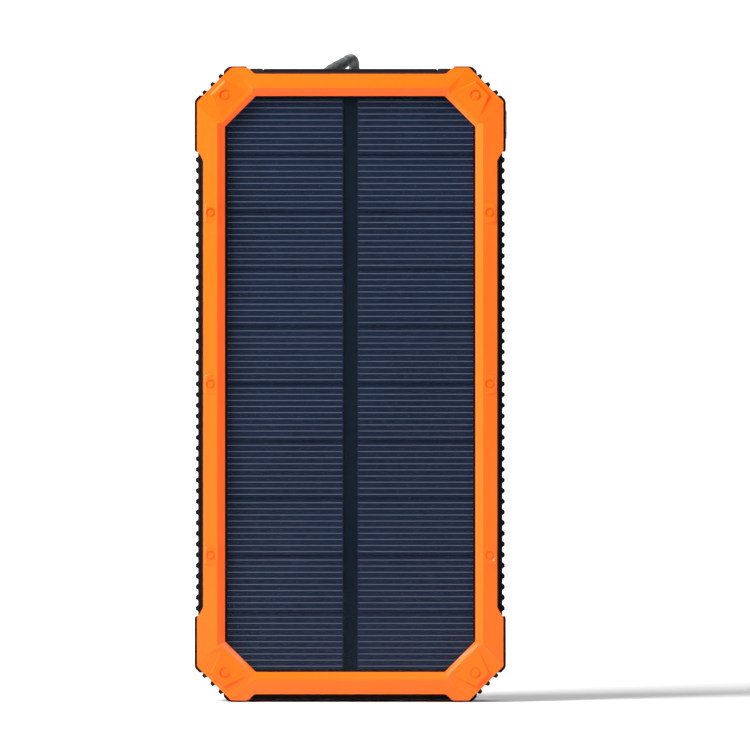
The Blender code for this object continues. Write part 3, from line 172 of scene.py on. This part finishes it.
def clearCover():
    # clear hard-coated sheet: nearly invisible, with a soft sheen and a few smears
    finish = Finish("clearCover")
    smears = finish.noise(35.0, detail=5.0)
    return finish.surface(
        Base_Color=(0.02, 0.025, 0.03, 1.0), Alpha=finish.ranged(smears, 0.05, 0.07),
        Roughness=finish.ranged(smears, 0.14, 0.2), Specular_IOR_Level=0.7)


def braidedCord():
    # fine yarns that wind round the sheath, on the sheath's own map
    finish = Finish("braidedCord")
    sheathMap = finish.coords("UV")
    around = finish.node("SeparateXYZ", output=0, in0=sheathMap)
    along = finish.node("SeparateXYZ", output=1, in0=sheathMap)
    winding = (around * 96.0 + along * 260.0) * 6.283
    yarn = finish.node("Math", settings={"operation": "SINE"}, in0=winding)
    fuzz = finish.noise(3000.0, detail=4.0)
    broad = finish.noise(400.0)
    colour = finish.between(finish.ranged(yarn * 0.12 + fuzz * 0.5 + broad * 0.4, 0.0, 1.0),
                            (0.004, 0.007, 0.010), (0.040, 0.052, 0.060))
    return finish.surface(
        Base_Color=colour, Roughness=finish.ranged(fuzz, 0.72, 0.9), Sheen_Weight=0.35,
        Sheen_Roughness=0.5, Normal=finish.bump(yarn * 0.3 + fuzz * 0.7, 0.5, 0.06 * mm))


def wrappedFoil():
    # pouch cell: aluminium laminate with soft creases
    finish = Finish("wrappedFoil")
    creases = finish.noise(90.0, detail=6.0, roughness=0.65)
    return finish.surface(
        Base_Color=finish.between(creases, (0.58, 0.59, 0.61), (0.78, 0.79, 0.8)), Metallic=0.85,
        Roughness=finish.ranged(creases, 0.3, 0.5), Normal=finish.bump(creases, 0.5, 0.25 * mm))


def boardGreen():
    # solder mask over copper tracks that run in a fine square pattern
    finish = Finish("boardGreen")
    level = finish.node("Mapping", Vector=finish.coords(), Rotation=(pi / 2, 0.0, 0.0))
    squares = finish.node("TexBrick", output="Fac", Vector=level, Scale=160.0, Mortar_Size=0.03)
    broad = finish.noise(80.0)
    colour = finish.between(squares * 0.6 + broad * 0.3, (0.012, 0.11, 0.045), (0.03, 0.2, 0.07))
    return finish.surface(Base_Color=colour, Roughness=finish.ranged(broad, 0.3, 0.42),
                          Normal=finish.bump(squares, 0.2, 0.05 * mm))


def foamPad():
    # open-cell foam
    finish = Finish("foamPad")
    cells = finish.node("TexVoronoi", output="Distance", Vector=finish.coords(), Scale=1500.0)
    return finish.surface(
        Base_Color=finish.between(cells, (0.02, 0.02, 0.022), (0.06, 0.06, 0.065)),
        Roughness=0.92, Normal=finish.bump(cells, 0.7, 0.2 * mm))


def tintedLed(name, colour):
    # cast resin lens of a light that is off
    finish = Finish(name)
    blotch = finish.noise(600.0)
    return finish.surface(Base_Color=finish.between(blotch, lighter(colour, 0.92), colour),
                          Roughness=finish.ranged(blotch, 0.2, 0.3), Coat_Weight=0.6)


looks = {
    "orange": moulded("orangePlastic", (0.95, 0.108, 0.003), 0.32, spread=0.02, Specular_IOR_Level=0.3),
    "shell": moulded("blackPlastic", (0.014, 0.014, 0.017), 0.6, grain=1900.0, strength=0.4,
                     Specular_IOR_Level=0.08),
    "rubber": moulded("blackRubber", (0.006, 0.006, 0.007), 0.75, grain=2200.0, strength=0.3,
                      Specular_IOR_Level=0.05),
    "grey": moulded("greyPlastic", (0.72, 0.72, 0.73), 0.4),
    "white": moulded("whitePlastic", (0.75, 0.74, 0.66), 0.4, spread=0.03),
    "laminate": moulded("darkLaminate", (0.003, 0.007, 0.013), 0.55, grain=1500.0, Specular_IOR_Level=0.0),
    "red": moulded("redInsulation", (0.45, 0.02, 0.015), 0.45),
    "black": moulded("blackInsulation", (0.015, 0.015, 0.016), 0.45),
    "steel": metal("platedSteel", (0.62, 0.62, 0.64), 0.3),
    "gold": metal("goldContact", (0.85, 0.6, 0.22), 0.28),
    "mirror": metal("reflectorCup", (0.9, 0.9, 0.91), 0.12),
    "silver": moulded("silverPaste", (0.075, 0.083, 0.130), 0.5, spread=0.05),
    "cell": solarCell(),
    "cover": clearCover(),
    "cord": braidedCord(),
    "foil": wrappedFoil(),
    "board": boardGreen(),
    "foam": foamPad(),
    "blueLed": tintedLed("blueLed", (0.25, 0.45, 0.8)),
    "greenLed": tintedLed("greenLed", (0.25, 0.7, 0.3)),
}
print("materials made:", len(looks))


view = {"distance": 2.0, "across": 187.5 * mm, "right": 6.2 * mm, "height": 81.85 * mm, "sensor": 36.0,
        "farthest": 20.0, "aim": (0.0, 0.0, 0.08)}
lights = {  # place, size and power
    "key": ((-0.50, -0.29, 0.56), (0.34, 0.34), 17.0),
    "fill": ((0.80, -0.85, 0.35), (0.5, 0.5), 6.0),
    "rim": ((0.2, 0.9, 1.1), (1.0, 0.5), 6.0),
}
studio = {"near": -0.42, "far": 2.2, "height": 3.0, "half": 4.0, "radius": 0.9, "steps": 10,
          "glowFrom": 0.15, "glowTo": 0.6, "world": 0.1}


def aimed(thing, target):
    thing.rotation_euler = (Vector(target) - thing.location).to_track_quat("-Z", "Y").to_euler()


def makeCamera():
    front = cadBox[0][1]
    lens = bpy.data.cameras.new("camera")
    lens.sensor_width = view["sensor"]
    lens.lens = view["sensor"] * view["distance"] / view["across"]
    lens.clip_end = view["farthest"]
    camera = bpy.data.objects.new("camera", lens)
    camera.location = (view["right"], front - view["distance"], view["height"])
    camera.rotation_euler = (pi / 2, 0.0, 0.0)
    bpy.context.scene.collection.objects.link(camera)
    bpy.context.scene.camera = camera


def areaLight(name, spot, size, power):
    light = bpy.data.lights.new(name, "AREA")
    light.shape = "RECTANGLE"
    light.size, light.size_y = size
    light.energy = power
    thing = bpy.data.objects.new(name, light)
    thing.location = spot
    aimed(thing, view["aim"])
    bpy.context.scene.collection.objects.link(thing)


def makeStage():
    # a floor that bends up into a wall; its back glows, so that it stays pale away from the lights
    shape = bmesh.new()
    bend = studio["far"] - studio["radius"]
    ends = [shape.verts.new((-studio["half"], studio["near"], 0.0)),
            shape.verts.new((-studio["half"], bend, 0.0))]
    shape.edges.new(ends)
    swept = bmesh.ops.spin(shape, geom=[ends[1]], cent=(-studio["half"], bend, studio["radius"]),
                           axis=(1.0, 0.0, 0.0), angle=pi / 2, steps=studio["steps"])
    last = [part for part in swept["geom_last"] if isinstance(part, bmesh.types.BMVert)]
    risen = bmesh.ops.extrude_vert_indiv(shape, verts=last)
    bmesh.ops.translate(shape, verts=risen["verts"], vec=(0.0, 0.0, studio["height"]))
    wide = bmesh.ops.extrude_edge_only(shape, edges=shape.edges[:])
    moved = [part for part in wide["geom"] if isinstance(part, bmesh.types.BMVert)]
    bmesh.ops.translate(shape, verts=moved, vec=(2 * studio["half"], 0.0, 0.0))
    bmesh.ops.recalc_face_normals(shape, faces=shape.faces)
    mesh = bpy.data.meshes.new("backdrop")
    shape.to_mesh(mesh)
    shape.free()
    mesh.shade_smooth()
    finish = Finish("backdropPaper")
    shade = finish.noise(4.0)
    back = finish.node("SeparateXYZ", output=1, in0=finish.coords())
    glow = finish.node("MapRange", Value=back, From_Min=studio["glowFrom"], From_Max=studio["glowTo"],
                       To_Min=0.0, To_Max=1.0)
    mesh.materials.append(finish.surface(
        Base_Color=finish.between(shade, (0.60, 0.60, 0.60), (0.64, 0.64, 0.64)), Roughness=0.9,
        Emission_Color=finish.between(glow, (0.0, 0.0, 0.0), (1.0, 1.0, 1.0)),
        Emission_Strength=1.0))
    backdrop = bpy.data.objects.new("backdrop", mesh)
    bpy.context.scene.collection.objects.link(backdrop)
    world = bpy.data.worlds.new("studio")
    world.use_nodes = True
    background = world.node_tree.nodes["Background"]
    background.inputs["Color"].default_value = (1.0, 1.0, 1.0, 1.0)
    background.inputs["Strength"].default_value = studio["world"]
    bpy.context.scene.world = world
    bpy.context.scene.view_settings.view_transform = "Standard"


makeCamera()
makeStage()
for name, (spot, size, power) in lights.items():
    areaLight(name, spot, size, power)
print("camera, lights and floor made")


def place(name, shape, look, body="case", replaces=(), smooth=32.0):
    mesh = bpy.data.meshes.new(name)
    shape.to_mesh(mesh)
    shape.free()
    mesh.materials.append(looks[look])
    mesh.shade_smooth()
    mesh.set_sharp_from_angle(angle=radians(smooth))
    piece = bpy.data.objects.new(name, mesh)
    bpy.context.scene.collection.objects.link(piece)
    normals = piece.modifiers.new("even_normals", "WEIGHTED_NORMAL")
    normals.keep_sharp = True
    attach(piece, body)
    if replaces:
        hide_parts(*replaces)
    return piece


def mergedCopy(node):
    # a CAD node's mesh with its doubles merged and its flat faces whole
    shape = bmesh.new()
    shape.from_mesh(nodes[node].data)
    bmesh.ops.remove_doubles(shape, verts=shape.verts, dist=0.002 * mm)
    bmesh.ops.dissolve_limit(shape, angle_limit=radians(0.6), verts=shape.verts, edges=shape.edges)
    return shape


def soften(shape, width, segments, sharpest, smallest=0.0):
    # bevels the edges that turn by more than an angle and lie between faces over an area
    chosen = [edge for edge in shape.edges
              if len(edge.link_faces) == 2 and edge.calc_face_angle(0.0) > radians(sharpest)
              and min(face.calc_area() for face in edge.link_faces) > smallest]
    if chosen:
        bmesh.ops.bevel(shape, geom=chosen, offset=width, offset_type="OFFSET", affect="EDGES",
                        segments=segments, profile=0.5, material=-1, clamp_overlap=True)


def camel(node):
    words = node.split("_")
    return words[0] + "".join(word.capitalize() for word in words[1:])


def treesOf(names):
    trees = []
    for name in names:
        shape = mergedCopy(name)
        trees.append(BVHTree.FromBMesh(shape))
        shape.free()
    return trees


def seat(shape, trees, reach=0.5 * mm, shift=0.35 * mm):
    # moves the faces that look at the hard case on to it, so that no light shows between
    shifts = {}
    for face in shape.faces:
        centre = face.calc_center_median()
        if any(tree.ray_cast(centre, face.normal, reach)[0] is not None for tree in trees):
            for vert in face.verts:
                shifts.setdefault(vert, []).append(face.normal.copy())
    for vert, normals in shifts.items():
        first = normals[0]
        others = [normal for normal in normals if normal.dot(first) < 0.99]
        second = others[0] if others else first
        vert.co += (first + second) / (1 + first.dot(second)) * shift


def refine(node, look, slot, width, segments=2, sharpest=25.0, body="case", seated=()):
    # a CAD node's piece with softened edges, in its place
    shape = mergedCopy(node)
    if seated:
        seat(shape, seated)
    soften(shape, width, segments, sharpest)
    return place(camel(node), shape, look, body, replaces=[node])


def turned(profile, steps, centre, turn=Matrix.Rotation(-pi / 2, 4, "X")):
    # spins a profile of (radius, height) about an upright axis, then turns it, by default to face back
    shape = bmesh.new()
    corners = [shape.verts.new((radius, 0.0, height)) for radius, height in profile]
    edges = [shape.edges.new(pair) for pair in zip(corners, corners[1:])]
    bmesh.ops.spin(shape, geom=corners + edges, cent=(0.0, 0.0, 0.0), axis=(0.0, 0.0, 1.0), angle=tau,
                   steps=steps, use_merge=True)
    bmesh.ops.remove_doubles(shape, verts=shape.verts, dist=0.001 * mm)
    bmesh.ops.recalc_face_normals(shape, faces=shape.faces)
    bmesh.ops.transform(shape, verts=shape.verts, matrix=Matrix.Translation(centre) @ turn)
    return shape


def addBox(shape, low, high):
    size = Vector(high) - Vector(low)
    middle = (Vector(high) + Vector(low)) / 2
    bmesh.ops.create_cube(shape, size=1.0,
                          matrix=Matrix.Translation(middle) @ Matrix.Diagonal((*size, 1.0)))


middleHeight = (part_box("front_bezel")[0][2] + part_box("front_bezel")[1][2]) / 2
cordRoute = [
    (-0.0072, 0.00825, 0.0749), (-0.0071, 0.00830, 0.0766), (-0.0063, 0.00850, 0.0781),
    (-0.0045, 0.00900, 0.0795), (-0.0018, 0.01030, 0.0810), (0.0001, 0.01320, 0.0821),
    (0.0008, 0.01660, 0.0811), (0.0009, 0.01890, 0.0780), (0.0007, 0.01910, 0.0736),
    (-0.0006, 0.01760, 0.0682), (-0.0026, 0.01540, 0.0630), (-0.0031, 0.01470, 0.0590),
    (-0.0031, 0.01470, 0.0550), (-0.0031, 0.01470, 0.0500), (0.0004, 0.01460, 0.0360),
    (0.0046, 0.01440, 0.0160), (0.0070, 0.01420, -0.0080), (0.0074, 0.01420, -0.0280),
    (0.0056, 0.01420, -0.0440), (0.0012, 0.01430, -0.0534), (-0.0050, 0.01440, -0.0572),
    (-0.0112, 0.01430, -0.0534), (-0.0156, 0.01420, -0.0440), (-0.0174, 0.01420, -0.0280),
    (-0.0170, 0.01420, -0.0080), (-0.0148, 0.01440, 0.0160), (-0.0108, 0.01460, 0.0360),
    (-0.0076, 0.01470, 0.0500), (-0.0076, 0.01470, 0.0550), (-0.0076, 0.01470, 0.0590),
    (-0.0073, 0.01570, 0.0644), (-0.0060, 0.01580, 0.0693), (-0.0048, 0.01340, 0.0721),
    (-0.0043, 0.01050, 0.0726),
]
fineSteps = 40  # between two corners of the route
cord = {"diameter": 2.8 * mm, "relief": 0.2 * mm, "strands": 9, "around": 54, "ring": 0.26 * mm,
        "crossing": 1.9 * mm}
sleeve = {"length": 2.6 * mm, "wall": 0.32 * mm, "lip": 0.18 * mm, "bite": 0.25 * mm, "steps": 32,
          "start": 8}  # start: how many rings along the cord give its direction


def smoothLine(corners, spacing):
    # a smooth curve through the corners, with evenly spaced points, and its length
    spots = [Vector(corner) + Vector((0.0, 0.0, middleHeight)) for corner in corners]
    ends = [2 * spots[0] - spots[1]] + spots + [2 * spots[-1] - spots[-2]]
    fine = []
    for a, b, c, d in zip(ends, ends[1:], ends[2:], ends[3:]):
        for step in range(fineSteps):
            t = step / fineSteps
            fine.append((2 * b + (c - a) * t + (2 * a - 5 * b + 4 * c - d) * t ** 2
                         + (3 * b - a - 3 * c + d) * t ** 3) / 2)
    fine.append(spots[-1])
    reach = [0.0]
    for here, there in zip(fine, fine[1:]):
        reach.append(reach[-1] + (there - here).length)
    count = round(reach[-1] / spacing)
    line = []
    at = 0
    for i in range(count + 1):
        goal = reach[-1] * i / count
        while at < len(fine) - 2 and reach[at + 1] < goal:
            at += 1
        line.append(fine[at].lerp(fine[at + 1], min(1.0, (goal - reach[at]) / (reach[at + 1] - reach[at]))))
    return line, reach[-1]


def braidHeight(around, along):
    # yarn bundles that pass over and under each other, from 0 to 1
    a = cord["strands"] * around + along / cord["crossing"]
    b = cord["strands"] * around - along / cord["crossing"]
    over = cos(pi * b) * (1 if floor(a) % 2 else -1)
    under = cos(pi * a) * (-1 if floor(b) % 2 else 1)
    first = abs(sin(pi * a)) ** 0.6 * (0.7 + 0.3 * over)
    second = abs(sin(pi * b)) ** 0.6 * (0.7 + 0.3 * under)
    return max(first, second)


def makeCord():
    # a tube along the route, its wall raised where the bundles lie
    line, length = smoothLine(cordRoute, cord["ring"])
    rings = len(line) - 1
    shape = bmesh.new()
    bmesh.ops.create_grid(shape, x_segments=cord["around"], y_segments=rings, size=0.5, calc_uvs=True)
    mapping = shape.loops.layers.uv.new("sheath")
    for face in shape.faces:
        for loop in face.loops:
            loop[mapping].uv = (loop.vert.co.x + 0.5, (loop.vert.co.y + 0.5) * length * 10)
    frames = []
    side = Vector((1.0, 0.0, 0.0))
    for i, spot in enumerate(line):
        ahead = (line[min(i + 1, rings)] - line[max(i - 1, 0)]).normalized()
        side = (side - ahead * side.dot(ahead)).normalized()
        frames.append((spot, side.copy(), ahead.cross(side)))
    for vert in shape.verts:
        around = vert.co.x + 0.5
        ring = min(rings, max(0, round((vert.co.y + 0.5) * rings)))
        spot, across, up = frames[ring]
        radius = cord["diameter"] / 2 + cord["relief"] * (braidHeight(around, ring * length / rings) - 0.75)
        vert.co = spot + (across * cos(tau * around) + up * sin(tau * around)) * radius
    bmesh.ops.remove_doubles(shape, verts=shape.verts, dist=0.001 * mm)
    rims = [edge for edge in shape.edges if edge.is_boundary]
    bmesh.ops.holes_fill(shape, edges=rims, sides=0)
    bmesh.ops.recalc_face_normals(shape, faces=shape.faces)
    sheath = place("cordSheath", shape, "cord", replaces=["wrist_cord"], smooth=60.0)
    return sheath, line, length


def makeSleeve(name, start, along):
    # crimped sleeve where the cord meets its anchor
    outer = cord["diameter"] / 2 + sleeve["wall"]
    waist = outer - sleeve["lip"]
    inner = cord["diameter"] / 2 - sleeve["bite"]
    long = sleeve["length"]
    profile = [(inner, -sleeve["bite"]), (waist, -sleeve["bite"]), (outer, 0.0), (outer, long * 0.3),
               (waist, long * 0.4), (waist, long * 0.6), (outer, long * 0.7),
               (outer, long - sleeve["lip"]), (waist, long), (inner, long), (inner, -sleeve["bite"])]
    turn = along.to_track_quat("Z", "Y").to_matrix().to_4x4()
    return place(name, turned(profile, sleeve["steps"], start, turn), "black")


sheath, cordLine, cordLength = makeCord()
sleeves = [makeSleeve("cordSleeveOut", cordLine[0], cordLine[sleeve["start"]] - cordLine[0]),
           makeSleeve("cordSleeveIn", cordLine[-1], cordLine[-1 - sleeve["start"]] - cordLine[-1])]
bead = refine("cord_bead", "shell", "black_plastic", 0.7 * mm, segments=4, sharpest=60.0)
[tuple(spot) for spot in cordLine[::8]] + [tuple(cordLine[-1])]
print("cord made:", round(cordLength * 1000), "mm")


bezel = {"width": 0.32 * mm, "segments": 3, "sharpest": 40.0, "faceSize": 0.9 * mm * mm,
         "smooth": 28.0}
softEdges = {  # how wide each piece's edges are softened, in how many steps, and from what angle
    "shell": {"width": 0.25 * mm, "sharpest": 40.0},
    "bumper": {"width": 0.35 * mm, "segments": 3, "sharpest": 28.0},
    "grip": {"width": 0.12 * mm, "sharpest": 28.0},
    "button": {"width": 0.35 * mm, "segments": 3, "sharpest": 40.0},
    "portCover": {"width": 0.22 * mm, "segments": 3, "sharpest": 50.0},
    "port": {"width": 0.08 * mm},
    "screw": {"width": 0.18 * mm, "sharpest": 40.0},
    "anchor": {"width": 0.3 * mm, "segments": 3, "sharpest": 50.0},
}
ports = ("usb_a_port_left", "usb_a_port_right", "micro_usb_port")


def makeBezel():
    # only its larger faces' edges are softened, so that the round marks stay crisp
    shape = mergedCopy("front_bezel")
    soften(shape, bezel["width"], bezel["segments"], bezel["sharpest"], bezel["faceSize"])
    return place("frontBezel", shape, "orange", replaces=["front_bezel"],
                 smooth=bezel["smooth"])


makeBezel()
refine("rear_shell", "shell", "black_plastic", **softEdges["shell"])
hardCase = treesOf(["rear_shell", "front_bezel"])
for corner in ("top_left", "top_right", "bottom_left", "bottom_right"):
    refine("corner_bumper_" + corner, "rubber", "black_rubber", **softEdges["bumper"], seated=hardCase)
for side in ("left", "right"):
    refine("side_grip_" + side, "rubber", "black_rubber", **softEdges["grip"], seated=hardCase)
refine("power_button", "grey", "grey_plastic", **softEdges["button"], body="power_button")
refine("port_cover", "rubber", "black_rubber", **softEdges["portCover"], body="port_cover")
for name in ports:
    refine(name, "steel", "plated_steel", **softEdges["port"])
for name in [node for node in nodes if node.startswith("screw_")]:
    refine(name, "steel", "plated_steel", **softEdges["screw"])
refine("cord_anchor", "steel", "plated_steel", **softEdges["anchor"])
print("case made")


fingers = {"perCell": 9, "pitch": 1.53 * mm, "width": 0.17 * mm, "height": 0.04 * mm,
           "sunk": 0.01 * mm, "margin": 0.25 * mm}


def makeFingers():
    # silver lines printed across each cell
    shape = bmesh.new()
    for node in [name for name in nodes if name.startswith("solar_cell_")]:
        low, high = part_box(node)
        middle = (low[2] + high[2]) / 2
        for i in range(fingers["perCell"]):
            z = middle + (i - (fingers["perCell"] - 1) / 2) * fingers["pitch"]
            half = fingers["width"] / 2
            addBox(shape, (low[0] + fingers["margin"], low[1] - fingers["height"], z - half),
                   (high[0] - fingers["margin"], low[1] + fingers["sunk"], z + half))
    return place("silverFingers", shape, "silver")


makeFingers()
print("solar panel made")


torch = {"floorRadius": 1.9 * mm, "gap": 0.1 * mm, "sunk": 0.2 * mm, "lip": 0.15 * mm, "wall": 0.05 * mm,
         "rim": 0.35 * mm, "rimDrop": 0.25 * mm, "crown": 0.05 * mm, "steps": 48}


def makeTorch():
    # a reflector cup round the light, behind a slightly domed lens
    low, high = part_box("torch_lens")
    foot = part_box("torch_led")[1][1] - torch["sunk"]
    centre = Vector(((low[0] + high[0]) / 2, 0.0, (low[2] + high[2]) / 2))
    radius = (high[0] - low[0]) / 2
    brim = low[1] - torch["gap"]
    deep = brim - foot
    cup = [(torch["floorRadius"], foot), (radius * 0.72, foot + deep * 0.35),
           (radius - torch["lip"], brim), (radius - 0.02 * mm, brim), (radius * 0.8, foot + deep * 0.2),
           (torch["floorRadius"] + 2 * torch["wall"], foot - torch["wall"]), (torch["floorRadius"], foot)]
    place("torchReflector", turned(cup, torch["steps"], centre), "mirror")
    lens = [(0.0, low[1]), (radius - 0.1 * mm, low[1]), (radius, low[1] + 0.1 * mm),
            (radius, high[1] - torch["rimDrop"]), (radius - torch["rim"], high[1] - torch["crown"]),
            (radius * 0.6, high[1]), (radius * 0.3, high[1] + torch["crown"] * 0.8),
            (0.0, high[1] + torch["crown"])]
    return place("torchLens", turned(lens, torch["steps"], centre), "cover",
                 replaces=["torch_lens"])


chargeLight = {"count": 4, "proud": 0.12 * mm, "radius": 0.68 * mm, "height": 0.5 * mm, "steps": 20}


def makeChargeLights():
    # a row of small domes; the first shows that the panel is charging
    low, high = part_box("charge_light_lens")
    top = high[1] + chargeLight["proud"]
    base = top - chargeLight["height"]
    dome = [(0.0, top), (0.35 * mm, top - 0.05 * mm), (0.6 * mm, top - 0.2 * mm),
            (chargeLight["radius"], base), (0.0, base)]
    for i in range(chargeLight["count"]):
        x = low[0] + (high[0] - low[0]) * (i + 0.5) / chargeLight["count"]
        centre = (x, 0.0, (low[2] + high[2]) / 2)
        place("chargeLight%d" % (i + 1), turned(dome, chargeLight["steps"], centre),
              "greenLed" if i == 0 else "blueLed")


contacts = {"usb": (4, 1.0 * mm), "micro": (5, 0.4 * mm), "spread": 0.55, "above": 0.06 * mm,
            "below": 0.02 * mm, "reach": 0.7, "setBack": 1.4 * mm}


def makeContacts():
    # gilt contacts on the tongues of the sockets: how many, and how wide
    for node in ports:
        count, width = contacts["micro" if node.startswith("micro") else "usb"]
        low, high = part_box(node)
        shape = bmesh.new()
        middle = (low[0] + high[0]) / 2
        spread = (high[0] - low[0]) * contacts["spread"]
        y = (low[1] + high[1]) / 2
        foot = high[2] - (high[2] - low[2]) * contacts["reach"]
        for i in range(count):
            x = middle + spread * ((i + 0.5) / count - 0.5)
            addBox(shape, (x - width / 2, y - contacts["above"], foot),
                   (x + width / 2, y + contacts["below"], high[2] - contacts["setBack"]))
        place(camel(node) + "Contacts", shape, "gold")


makeTorch()
makeChargeLights()
makeContacts()
print("back lights and contacts made")


kept = {  # CAD nodes that keep their shape, by what they are made of
    "cell": [name for name in nodes if name.startswith("solar_cell_")],
    "cover": ["solar_cover", "charge_light_lens"],
    "laminate": ["panel_substrate", "boost_inductor"],
    "shell": ["panel_carrier"],
    "rubber": ["perimeter_gasket"],
    "foil": ["battery_front", "battery_rear"],
    "foam": ["foam_pad"],
    "board": ["circuit_board"],
    "steel": ["tact_switch", "anchor_pin"],
    "white": ["torch_led"],
    "red": ["solar_lead_positive", "battery_lead_positive"],
    "black": ["solar_lead_negative", "battery_lead_negative"],
}
for look, names in kept.items():
    for name in names:
        thing = nodes[name]
        if not thing.material_slots:
            thing.data.materials.append(looks[look])
        for holder in thing.material_slots:
            holder.material = looks[look]
print("CAD nodes painted")
